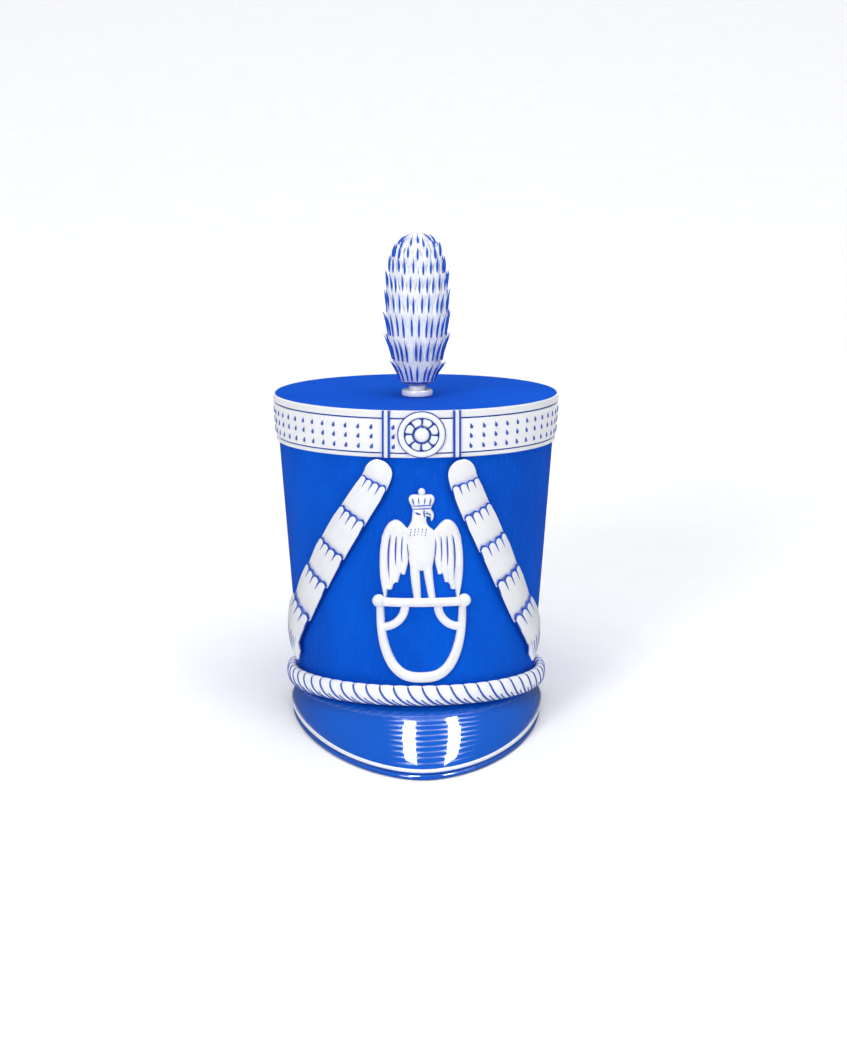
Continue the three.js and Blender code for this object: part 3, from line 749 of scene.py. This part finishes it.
plates = 6
fingers = 4
plate_thick = 1.3
plate_lift = 2.4
strap_dome = 2.4
notch_depth = 3.4
plate_overlap = 4.5
strap_thick = 2
strap_inset = 1.4
point_half_width = 0.6
strap_lines = {
    "left": [
        (16, 183.6, 19.5), (18.6, 169, 20.5), (28, 144, 22.5), (39, 117.5, 24),
        (48.5, 95.5, 24.5), (61.5, 69.5, 26), (77, 42, 26), (71, 24, 2.4),
    ],
    "right": [
        (15.4, 183.6, 20), (17.2, 168, 21), (22.5, 147, 22.5), (30, 123.5, 23.5),
        (39, 97, 24), (50, 70, 24.5), (65, 42, 23), (63.5, 24, 2.4),
    ],
}
strap_side = {"left": -1, "right": 1}


def smooth_line(rows, at):
    """Values on a smooth line through rows; at counts rows and may be an array."""
    rows = np.asarray(rows, float)
    padded = np.concatenate([[2 * rows[0] - rows[1]], rows, [2 * rows[-1] - rows[-2]]])
    at = np.clip(np.asarray(at, float), 0, len(rows) - 1)
    start = np.minimum(at.astype(int), len(rows) - 2)
    part = (at - start)[..., None]
    before, here, there, after = (padded[start + k] for k in range(4))

    def pace(a, b):
        """The time that the line takes from one row to the next."""
        return np.sqrt(np.linalg.norm(b - a, axis=-1, keepdims=True))

    d0, d1, d2 = pace(before, here), pace(here, there), pace(there, after)
    leave = d1 * ((here - before) / d0 - (there - before) / (d0 + d1) + (there - here) / d1)
    arrive = d1 * ((there - here) / d1 - (after - here) / (d1 + d2) + (after - there) / d2)
    square, cube = part**2, part**3
    return (
        here * (2 * cube - 3 * square + 1)
        + leave * (cube - 2 * square + part)
        + there * (3 * square - 2 * cube)
        + arrive * (cube - square)
    )


def strap_point(hand, across, along, out, inset=0.0):
    """Points on a strap: across from -1 to 1, along in rows of its line, out off its domed face."""
    across, along, out = spread(across, along, out)
    line = strap_lines[hand]
    at = smooth_line(line, along)
    way = smooth_line(line, along + 0.05) - smooth_line(line, along - 0.05)
    width = half_width(at[..., 1])
    way_turn = np.radians(way[..., 0]) * width
    way_height = way[..., 1]
    length = np.hypot(way_turn, way_height)
    offset = across * np.maximum(at[..., 2] / 2 - inset, point_half_width)
    turn = np.radians(at[..., 0]) - way_height / length * offset / width
    height = at[..., 1] + way_turn / length * offset
    return crown_point(strap_side[hand] * turn, height, out + strap_dome * (1 - across**2))


def round_end(along, length, blunt):
    """Share of the full width at a rounded end that takes up this length."""
    past = np.minimum(1, np.asarray(along) / length + blunt)
    return np.sqrt(1 - (1 - past) ** 2)


strap_leather = Finish("strap_leather", Specular_IOR_Level=0.4)
grain = strap_leather.noise(700)
strap_leather.colour(grain, dyed(0, 58, 165), dyed(8, 84, 204))
strap_leather.feed("Roughness", 0.5 + grain * 0.2)
strap_leather.bump(grain, 0.15)

last_row = len(strap_lines["left"]) - 1
along = np.linspace(0, 1, 60)[:, None]
span = np.linspace(-1, 1, 17)
across = span * round_end(along, 1 / 6, 0.1)
at = 0.12 + (last_row - 0.37) * along
dome = strap_dome * (1 - span[1:-1] ** 2)
for hand in strap_lines:
    face = strap_point(hand, across, at, gap + strap_thick, strap_inset)
    under = strap_point(hand, across[:, 1:-1], at, gap - dome, strap_inset)
    strap = lofted(np.concatenate([face, under[:, ::-1]], 1))
    add_piece(f"strap_leather_{hand}", [strap], strap_leather, [f"scale_backing_{hand}"])

strap_lean = math.radians(30)
first_plate, other_plate, last_plate = 0.0, 1.0, 2.0


def plate_painted_shade(metal):
    """Painted shade: lines along the finger tips and down between them, and fine shading lines down the
    last plate.
    """
    across, down = metal.sizes()
    line_width = metal.step(down, 0.0, 9.0, 0.46, 0.12)
    between_fingers = 1 - metal.step(metal.ridges(across, 1 / fingers), line_width * 0.6, line_width)
    between_fingers = between_fingers * (1 - metal.step(down, 6.0, 8.2))
    tip_line = 1 - metal.step(down, 1.2, 1.6)
    fingered = metal.step(metal.tint(), first_plate + 0.2, other_plate - 0.2)
    point_lines = 1 - metal.step(metal.ridges(across, 1 / 8), 0.3, 0.8)
    point_lines = point_lines * metal.step(down, 21, 27) * (1 - metal.step(down, 42, 50))
    pointed = metal.step(metal.tint(), other_plate + 0.2, last_plate - 0.2) * metal.step(across, 0.1, 0.16)
    finger_lines = metal.math("MAXIMUM", between_fingers, tip_line) * fingered
    return metal.math("MAXIMUM", finger_lines, point_lines * pointed)


# The plates' blue lines are painted shade: along the fingers' edges, in the gaps between them and down the
# last plate.
plate_metal = white_metal_finish("plate_metal", plate_painted_shade)


def plate_body(hand, number):
    """One pressed plate, and how far down from its fingered edge each point lies."""
    line = strap_lines[hand]
    row_length = (line[2][1] - line[3][1]) / math.cos(strap_lean)
    span = np.linspace(0, 1, 65)
    along = np.linspace(0, 1, 44)[:, None] ** 1.15
    wave = np.abs(np.sin(math.pi * fingers * span)) ** 0.75
    tint, end = other_plate, number + 1 + plate_overlap / row_length
    notch, lift, flute_rise = (1 - wave) * notch_depth / row_length, plate_lift, 0.75
    share = 1
    if number == 0:
        tint, notch, lift, flute_rise = first_plate, 0 * wave, 0, 0
        share = round_end(along, 0.62, 0.03)
    if number == plates - 1:
        tint, end = last_plate, last_row
        share = np.minimum(1, (1 - along) * 6 + 0.36)
    at = number + notch + along * (end - number - notch)
    down = (at - number) * row_length
    flute = flute_rise * (wave - 0.5) * np.exp(-((down / 7.5) ** 2))
    out = 2 * gap + strap_thick + lift * (1 - along) + flute
    across = (2 * span - 1) * share + 0 * at
    crown_roll = 0.5 * np.clip(1 - along * 14, 0, 1)
    face = strap_point(hand, across, at, out + plate_thick - crown_roll)
    under = strap_point(hand, across[:, 1:-1], at[:, 1:-1], out[:, 1:-1])
    spans = np.concatenate([span, span[1:-1][::-1], span[:1]])
    down = down - notch * row_length
    downs = np.concatenate([down, down[:, 1:-1][:, ::-1], down[:, :1]], 1)
    return lofted(np.concatenate([face, under[:, ::-1]], 1), size_pairs(spans, downs), tint=tint)


for hand in strap_lines:
    for number in range(plates):
        node = f"scale_{hand}_{number + 1}"
        plate = plate_body(hand, number)
        add_piece(f"plate_{hand}_{number + 1}", [plate], plate_metal, [node], sharp=50)

# Badge
# One casting on the front: an eagle with a small crown on its head stands on a bar with ball ends, over a
# U of heavy moulding with a quarter arc in each upper corner. Its engraved lines hold blue enamel.

badge_out = gap
bar_height, bar_radius, bar_half = 78.2, 3.3, 26
knob_x, knob_height, knob_radius = 29.7, 79.2, 4.8


def moulding(rows, thick, steps, out=badge_out, square=1.0, sides=18):
    """A bar with a rounded face along rows of x, height and width on the crown's front."""
    rows = np.asarray(rows, float)
    at = np.linspace(0, len(rows) - 1, steps)
    line = smooth_line(rows, at)
    way = unit(smooth_line(rows, at + 0.02)[:, :2] - smooth_line(rows, at - 0.02)[:, :2])
    bend = np.linspace(0, math.pi, sides)
    offset = line[:, 2:3] / 2 * np.cos(bend)
    x = line[:, :1] - way[:, 1:] * offset
    height = line[:, 1:2] + way[:, :1] * offset
    return lofted(front_point(x, height, out + thick * np.sin(bend) ** square))


def mound(rows, thick, steps, power=0.6):
    """A raised form with a rounded face between the left and right ends of its rows."""
    rows = np.asarray(rows, float)
    line = smooth_line(rows, np.linspace(0, len(rows) - 1, steps))
    bend = np.linspace(0, math.pi, 24)
    middle = (line[:, 1:2] + line[:, 2:3]) / 2
    half = (line[:, 2:3] - line[:, 1:2]) / 2
    from_end = np.minimum(np.arange(steps), np.arange(steps)[::-1])
    ends = np.minimum(1, from_end / 3 + 0.35)
    thick = np.interp(np.linspace(0, 1, steps), np.linspace(0, 1, len(thick)), thick)
    rise = (thick * ends)[:, None] * np.sin(bend) ** power
    return lofted(front_point(middle - half * np.cos(bend), line[:, :1], badge_out + rise))


def ball(x, height, radius, out):
    """A cast ball on the crown's front."""
    tilt = np.linspace(0, math.pi, 17)[:, None]
    turn = once_round(24)
    around = np.stack(spread(np.sin(tilt) * np.cos(turn), np.sin(tilt) * np.sin(turn), np.cos(tilt)), -1)
    return lofted(front_point(x, height, out) + radius * around)


def both_sides(rows):
    """The same rows for the left and the right half of the badge."""
    rows = np.asarray(rows, float)
    return [rows * [-1, 1, 1], rows]


def both_wings(rows):
    """Rows of height, near and far end, for the mounds of the left and the right wing."""
    rows = np.asarray(rows, float)
    return [rows[:, [0, 2, 1]] * [1, -1, -1], rows]


eagle_body = [
    (150, -5, 2.2), (147, -6.4, 3.3), (143, -6.9, 3.6), (139, -7.4, 3.5), (135.2, -9, 4.8),
    (130.7, -11.6, 9.2), (121, -11.2, 10.7), (112, -9.6, 9.2), (106, -8.6, 8.2), (101.5, -7.6, 7.2),
]
eagle_legs = [
    [(-4.9, 108, 6.6), (-4.8, 100, 7), (-4, 90, 6.4), (-2.8, 78, 5.2)],
    [(4.4, 108, 6.4), (4.8, 100, 6.6), (6.2, 90, 5.8), (8.1, 78, 5)],
]
wing_feathers = [
    [(11.2, 131, 4.6), (12, 120, 4.9), (12.5, 108, 5.2), (13.2, 99, 2.6)],
    [(14.6, 134, 4.6), (16, 120, 4.9), (16.8, 106, 5.4), (18.2, 93, 2.6)],
    [(18.6, 136, 4.8), (20.6, 120, 5.3), (21.2, 103, 5.6), (22.6, 87.5, 2.4)],
    [(22, 134, 5), (26, 121, 6.6), (27, 104, 6.6), (26.8, 93, 5.2), (26.2, 81, 1.6)],
]
wing_shoulder = [
    (139.2, 17.4, 20), (137.4, 14.6, 23), (134, 11.4, 25.6), (130, 8.4, 27.4), (125, 7.4, 28.6),
    (119, 8.4, 28.9),
]
wing_web = [
    (128, 9, 28.4), (120, 10, 29.2), (112, 11.2, 29.2), (104, 13, 28.6), (97, 16.4, 28),
    (91, 20.4, 27.4), (87, 23.6, 26.8),
]
crown_rows = [
    (158.2, -6.6, 6.6), (157.2, -8.4, 8.4), (155, -9.4, 9.4), (152.6, -8.9, 8.9), (150, -7.6, 7.6),
    (145.8, -6.2, 6.2),
]
beak = [(1.6, 146.6, 4.2), (4.8, 146.2, 4.2), (7.3, 143.6, 3.2), (7.5, 140.6, 2), (7, 138.8, 0.6)]
lower_beak = [(2.6, 143.4, 2.6), (5.2, 142.7, 2.2), (6.9, 141.2, 0.7)]

casting = [
    mound(eagle_body, [3.2, 4.2, 4.2, 4.4, 5.0, 5.0, 4.4, 3.6], 56),
    mound(crown_rows, [3.8], 30, power=0.4),
    ball(0, 160.4, 2.6, badge_out + 1.9),
    moulding(beak, 3.6, 24),
    moulding(lower_beak, 2.8, 16),
]
casting += [moulding(rows, 4.0, 30) for rows in eagle_legs]
for rows in wing_feathers:
    casting += [moulding(half, 3.1, 44, square=0.8) for half in both_sides(rows)]
casting += [mound(half, [2.6, 3.7, 3.9, 3.4, 2.2, 0.6], 40) for half in both_wings(wing_shoulder)]
casting += [mound(half, [2.1], 40, power=0.25) for half in both_wings(wing_web)]
bar_x = np.linspace(-bar_half - 1, bar_half + 1, 40)[:, None]
bar_up = bar_radius * np.sin(once_round(24))
bar_rise = bar_radius * (1 + np.cos(once_round(24)))
casting.append(lofted(front_point(bar_x, bar_height + bar_up, badge_out + bar_rise)))
casting += [ball(side * knob_x, knob_height, knob_radius, badge_out + knob_radius) for side in (-1, 1)]

shield_half, shield_top, shield_bottom = 29.9, 76, 21.6
shield = []
for angle in np.linspace(-math.pi / 2, math.pi / 2, 17):
    x = shield_half * np.sign(angle) * abs(math.sin(angle)) ** 0.72
    height = shield_top - (shield_top - shield_bottom) * abs(math.cos(angle)) ** 0.86
    shield.append((x, height, 5.2 + 2.6 * math.cos(angle)))
casting.append(moulding(shield, 3.4, 110, square=0.7))
quarter_radius = 17
quarter = []
for angle in np.linspace(0, math.pi / 2, 8):
    x = shield_half - 1 - quarter_radius * math.cos(angle)
    quarter.append((x, shield_top - quarter_radius * math.sin(angle), 6.2))
casting += [moulding(half, 3.0, 26, square=0.7) for half in both_sides(quarter)]
add_piece("eagle_badge", casting, white_metal, ["badge"], sharp=55)

# The enamel: lines between the flight feathers, then those on the crown, brow, beak and chest.
feather_lines = [
    [(9.9, 125, 0.3), (10.0, 121, 0.9), (9.6, 116, 0.9), (9.3, 111.5, 0.3)],
    [(13.8, 127, 0.3), (14.2, 122, 0.95), (14.2, 113, 0.95), (13.4, 105, 0.3)],
    [(17.8, 129.5, 0.3), (18.4, 123, 1.0), (18.6, 112, 1.0), (17.6, 100, 0.3)],
    [(21.8, 129.5, 0.3), (23.1, 122, 1.0), (23.8, 110, 1.0), (22.8, 94, 0.3)],
]


def enamel_line(rows, thick, steps, rise):
    """A thin raised line of enamel, at a rise over the felt's gap."""
    return moulding(rows, thick, steps, badge_out + rise, sides=8)


lines = []
for rows, rise in zip(feather_lines, (2.6, 2.3, 2.3, 2.3)):
    lines += [enamel_line(half, 0.5, 24, rise) for half in both_sides(rows)]
for x, top in ((-6.4, 155.6), (-2.2, 156), (2.2, 156), (6.4, 155.6)):
    stroke = [(x, top, 0.4), (x * 0.96, top - 2.4, 1.0), (x * 0.84, top - 4.6, 0.5)]
    lines.append(enamel_line(stroke, 0.5, 12, 3.6))
for height, half in ((150.2, 6.8), (147.9, 6.2)):
    stroke = [(-half, height - 0.3, 0.5), (0, height, 1.0), (half, height + 0.3, 0.5)]
    lines.append(enamel_line(stroke, 0.5, 20, 3.7))
brow = [(-4.6, 145.2, 0.5), (-2.6, 144.3, 1.8), (-0.6, 143.8, 0.6)]
beak_root = [(1.7, 147.0, 0.5), (1.5, 144.5, 1.1), (2.2, 141.6, 0.5)]
mouth = [(2.6, 144.3, 0.4), (5.2, 143.9, 0.8), (6.8, 142.6, 0.4)]
for rows, rise in ((brow, 3.9), (beak_root, 3.6), (mouth, 2.7)):
    lines.append(enamel_line(rows, 0.6, 14, rise))
for column, x in enumerate((-7.4, -4.5, -2.2, 0.6, 3.2)):
    for row in range(3):
        start = x - 0.3 * row
        top = 133.8 - 2.0 * row - 0.35 * abs(column - 2)
        mark = [(start, top, 0.4), (start - 0.1, top - 0.65, 0.8), (start - 0.2, top - 1.3, 0.35)]
        lines.append(enamel_line(mark, 0.5, 8, 4.55))
add_piece("eagle_enamel", lines, enamel, sharp=55)

# Base cord
# A thick white cotton cord, worn flat against the foot of the crown as a whole loop. Its three strands are
# laid up round a core. Thin blue tracer threads lie in the valleys between them, and short blue threads of
# painted shade lie beside these on the lower half.

cord_height, cord_tall, cord_thick = 8.7, 15, 8.5
cord_strands = 3
cord_lines = 19 * cord_strands
strand_swell = 0.75
strand_slant = 0.45
tracer_radius = 0.85
tracer_depth = 0.5
underside_shade_radius = 0.65
underside_shade_depth = 0.3
underside_shade_start, underside_shade_end = 1.85, 2.9


def cord_point(line, bend, out):
    """Points on the cord: line counts its valleys round the crown, bend runs from its top to the front."""
    line, bend, out = spread(line, bend, out)
    height = cord_height + (cord_tall / 2 + out) * np.cos(bend)
    outwards = gap + cord_thick / 2 + (cord_thick / 2 + out) * np.sin(bend)
    return crown_point(2 * math.pi * line / cord_lines, height, outwards)


def lay(bend):
    """How many lines a strand moves on as it bends round the cord: upright above, slanting below."""
    return cord_strands * bend / (2 * math.pi) - strand_slant * np.sin(bend)


def tracer_body(number, start, end, depth, radius, steps):
    """A thread laid so deep along the strands, between two bends round the cord."""
    bend = np.linspace(start, end, steps)
    middle = cord_point(number + lay(bend), bend, -depth)
    way = unit(np.gradient(middle, axis=0))
    out = cord_point(number + lay(bend), bend, 1) - middle
    beside = unit(np.cross(way, out))
    above = np.cross(beside, way)
    around = once_round(8)[:, None]
    thin = radius * np.clip(8 * np.minimum(bend - start, end - bend) / (end - start) + 0.15, 0, 1)
    round_thread = np.cos(around) * beside[:, None] + np.sin(around) * above[:, None]
    rings = middle[:, None] + thin[:, None, None] * round_thread
    return lofted(rings, size_pairs(np.linspace(0, 1, 9), np.linspace(0, 40, steps)[:, None]))


cord_cotton = Finish("white_cord", Sheen_Weight=0.3, Specular_IOR_Level=0.25)
strand, bend = cord_cotton.sizes()
plies = abs(cord_cotton.math("SINE", strand * (5 * math.pi) + bend * 0.8))
fluff = cord_cotton.noise(1300)
# Painted shade: the grooves between the plies are coloured darker.
raised = cord_cotton.step(plies + fluff * 0.3, 0.1, 0.5)
cord_cotton.colour(raised, dyed(230, 236, 246), dyed(248, 250, 254))
cord_cotton.feed("Roughness", 0.75 + fluff * 0.2)
cord_cotton.bump(plies + fluff * 0.5, 0.25)

line = np.linspace(0, cord_lines, 14 * cord_lines + 1)[:, None]
bend = np.linspace(0, 2 * math.pi, 41)
strand = line - lay(bend)
swell = strand_swell * (np.abs(np.sin(math.pi * strand)) ** 0.45 - 1)
cord = lofted(cord_point(line, bend, swell)[:-1, :-1], size_pairs(strand, bend), closed=True)
add_piece("cord_strands", [cord], cord_cotton, ["base_cord"], sharp=80)
tracers = []
# The second row makes the short threads of painted shade on the cord's lower half.
for first_line, start, end, depth, radius, steps in (
    (0, 0, 2 * math.pi, tracer_depth, tracer_radius, 48),
    (0.45, underside_shade_start, underside_shade_end, underside_shade_depth, underside_shade_radius, 14),
):
    for number in range(cord_lines):
        tracers.append(tracer_body(number + first_line, start, end, depth, radius, steps))
add_piece("cord_tracers", tracers, silk, sharp=80)

# Peak
# A broad plate of stiff leather under the front of the rim, with a deep blue patent face that mirrors the
# light. Its edge is rolled, and a white piping is sewn along it on the upper face.

peak_half_width = 93.2
peak_roundness = 1.8
peak_thick = 2.4
peak_bulge = 4
peak_reach = math.radians(98)
peak_end = 0.84
peak_least = 0.08
peak_seat = 1.2
peak_half_run = 190
edge_radius = 1.8


def peak_edge_line(angle):
    """Where the rolled edge runs, at an angle from the centre front."""
    power = 2 / peak_roundness
    sin, cos = np.sin(angle), np.cos(angle)
    x = (peak_half_width - edge_radius) * np.sign(sin) * np.abs(sin) ** power
    y = -(rim_half_depth + peak_tip - edge_radius) * np.sign(cos) * np.abs(cos) ** power
    lift = edge_radius * math.hypot(1, rest_slope)
    return np.stack([x, y, lift - rest_slope * (rim_half_depth - y)], -1)


def peak_line(around):
    """The peak's foot under the rim, its edge, and the way out of its face; around from -1 to 1."""
    angle = peak_reach * np.asarray(around, float)
    foot = crown_point(angle, 0, -peak_seat)
    foot[..., 2] = -gap
    edge = peak_edge_line(angle)
    along = peak_edge_line(angle + 0.01) - peak_edge_line(angle - 0.01)
    face = unit(np.cross(edge - foot, along))
    foot[..., 2] -= peak_thick / 2 * face[..., 2]
    return foot, edge, face


def peak_fade(around):
    """The share of its width that the peak keeps as it narrows towards its ends."""
    over = np.maximum(0, (np.abs(around) - peak_end) / (1 - peak_end))
    return np.maximum(peak_least, np.sqrt(np.maximum(0, 1 - over**2)))


def peak_point(around, reach, up):
    """Points on the peak: reach runs from 0 at the rim to 1 at the edge, up is measured off its middle."""
    around, reach, up = spread(around, reach, up)
    foot, edge, face = peak_line(around)
    fade = peak_fade(around)
    width = np.linalg.norm(edge - foot, axis=-1)
    share = fade * reach * (width - edge_radius - gap) / width
    bulge = fade * peak_bulge * 4 * reach * (1 - reach)
    return foot + (edge - foot) * share[..., None] + face * (bulge + up)[..., None]


crease_spacing = 5.0
crease_wander = 5.0
crease_half_run = 44

patent = Finish("patent_leather", Specular_IOR_Level=1, Coat_Weight=1, Coat_IOR=1.5, Coat_Roughness=0.03)
run, reach = patent.sizes()
drift = patent.noise(9)
wobble = patent.noise(16, 2, (0.5, 1, 1))
taper = patent.noise(90, 2, (1, 0.3, 0.3))
wave = patent.math("SINE", reach * (math.pi / crease_spacing) + wobble * crease_wander)
creases = 1 - patent.step(abs(wave) + taper * 0.3, 0.25, 1.05)
creases = creases * (1 - patent.step(abs(run - 12), crease_half_run - 8, crease_half_run + 8))
patent.colour(drift, dyed(0, 84, 196), dyed(0, 100, 216))
patent.feed("Roughness", 0.04 + creases * 0.25)

half = peak_thick / 2
upper = np.linspace(0, 1, 40)
reach_line = np.concatenate([upper, upper[::-1]])
up_line = np.repeat([half, -half], len(upper))
around = np.linspace(-1, 1, 200)
rings = peak_point(around[:, None], reach_line, up_line)
seam = looped(reach_line) * math.hypot(peak_tip, peak_drop)
sizes = size_pairs(around[:, None] * peak_half_run, seam)
add_piece("peak_plate", [lofted(rings, sizes)], patent, ["peak"], sharp=50)

bend = once_round(16)[:, None]
foot, edge, face = peak_line(around)
away = unit(edge - foot)
middle = peak_point(around, 1, 0) + away * (edge_radius + gap)
rolled = middle[:, None] + edge_radius * (np.cos(bend) * away[:, None] + np.sin(bend) * face[:, None])
add_piece("peak_roll", [lofted(rolled)], patent, ["peak_edge"], sharp=60)

piping_inner, piping_outer, piping_thick = 3.5, 0.9, 1.0
piping_wider = 5
piping_end = 1 - 2 / 32
piping = Finish("white_piping", Specular_IOR_Level=0.5, Coat_Weight=0.2)
across, run = piping.sizes()
stitch = piping.step(piping.ridges(run, 3.0), 0.25, 0.5)
groove = piping.step(abs(across), 0.05, 0.16)
leather = piping.noise(500)
piping.colour(leather, dyed(232, 237, 246), dyed(248, 250, 254))
piping.feed("Roughness", 0.45 + leather * 0.15)
piping.bump(leather * 0.3 + piping.math("MAXIMUM", stitch, groove) * 0.8, 0.25)
around = np.linspace(-piping_end, piping_end, 260)[:, None]
bend = np.linspace(0, math.pi, 11)
inner_here = piping_inner + piping_wider * around**2
from_edge = (inner_here + piping_outer) / 2 + (inner_here - piping_outer) / 2 * np.cos(bend)
foot, edge, face = peak_line(around)
peak_width = np.linalg.norm(edge - foot, axis=-1)
reach_line = 1 - peak_fade(around) * from_edge / peak_width
rings = peak_point(around, reach_line, half + gap + piping_thick * np.sin(bend) ** 0.6)
sizes = size_pairs(looped(np.cos(bend)), around * peak_half_run)
add_piece("peak_piping", [lofted(rings, sizes)], piping, ["peak_binding"])

# Floor and light
# A plain pale floor, a soft light from the upper left, a weaker one from the right and two wide ones behind
# and overhead. Two rows of narrow lights overhead stand in the polished peak as two upright bars.

floor_mesh = bpy.data.meshes.new("floor")
floor_mesh.from_pydata([(-9, -9, 0), (9, -9, 0), (9, 14, 0), (-9, 14, 0)], [], [(0, 1, 2, 3)])
floor = in_scene("floor", floor_mesh)
floor_finish = Finish("floor", Roughness=0.85, Specular_IOR_Level=0.15)
paper = floor_finish.noise(30, 2)
floor_finish.colour(paper, dyed(240, 241, 243), dyed(244, 245, 247))
floor_mesh.materials.append(floor_finish.material)
floor.visible_glossy = False

world = bpy.data.worlds.new("studio")
world.use_nodes = True
world.node_tree.nodes["Background"].inputs["Color"].default_value = (0.98, 0.99, 1.0, 1)
world.node_tree.nodes["Background"].inputs["Strength"].default_value = 0.12
bpy.context.scene.world = world


def area_light(name, place, turn, width, length, power, diffuse=True, glossy=True):
    """A rectangular light at a place, with the rotation given in degrees."""
    light = bpy.data.lights.new(name, "AREA")
    light.shape = "RECTANGLE"
    light.size, light.size_y = width, length
    light.energy = power
    lamp = in_scene(name, light)
    lamp.location = place
    lamp.rotation_euler = [math.radians(v) for v in turn]
    lamp.visible_diffuse = diffuse
    lamp.visible_glossy = glossy


area_light("key", (-1.9, -2.8, 2.1), (57, 0, -34), 1.2, 1.2, 62)
area_light("fill", (2.3, -2.6, 1.2), (70, 0, 41), 1.4, 1.4, 27, glossy=False)
area_light("back", (0, 3.8, 4.4), (-4, 0, 0), 5.0, 2.4, 100, glossy=False)
area_light("ceiling", (0.3, -0.2, 5.0), (0, 0, 0), 4.5, 4.5, 215, glossy=False)

bar_light_height = 3.9
bar_light_power = 70
bar_light_parts = 4
for name, start, end, widths in (
    ("bar_left", (-0.25, 1.07), (-1.12, -1.88), (0.38, 1.0)),
    ("bar_right", (1.33, 1.13), (3.1, -1.84), (0.42, 1.24)),
):
    start, end = Vector((*start, bar_light_height)), Vector((*end, bar_light_height))
    way = (end - start) / bar_light_parts
    turn = math.degrees(math.atan2(-way.x, way.y))
    for part in range(bar_light_parts):
        place = start + way * (part + 0.5)
        width = widths[0] + (widths[1] - widths[0]) * (part + 0.5) / bar_light_parts
        power = bar_light_power * width * way.length
        area_light(f"{name}_{part + 1}", place, (0, 0, turn), width, way.length, power, diffuse=False)

# Camera
# It looks down at the front by the drawing's angle, which comes on top of the hat's own lean, and stands so
# far away that the hat's sides hardly converge.

photo_scale = 0.752
photo_height = 1037
sensor_width = 36
camera_rise = math.radians(8.85) + lean
camera_side = math.radians(-2.4)
camera_roll = math.radians(0.4)
camera_distance = 4.1
aim = to_world([[5.6, 0, 123.8]])[0]
camera_data = bpy.data.cameras.new("camera")
camera_data.sensor_width = sensor_width
camera_data.lens = sensor_width * camera_distance * mm_per_metre / (photo_scale * photo_height)
camera = in_scene("camera", camera_data)
camera.rotation_euler = (
    Matrix.Rotation(camera_side, 3, "Z")
    @ Matrix.Rotation(math.pi / 2 - camera_rise, 3, "X")
    @ Matrix.Rotation(camera_roll, 3, "Z")
).to_euler()
camera.location = Vector(aim) + camera.rotation_euler.to_matrix() @ Vector((0, 0, camera_distance))
bpy.context.scene.camera = camera
bpy.context.scene.view_settings.view_transform = "Standard"
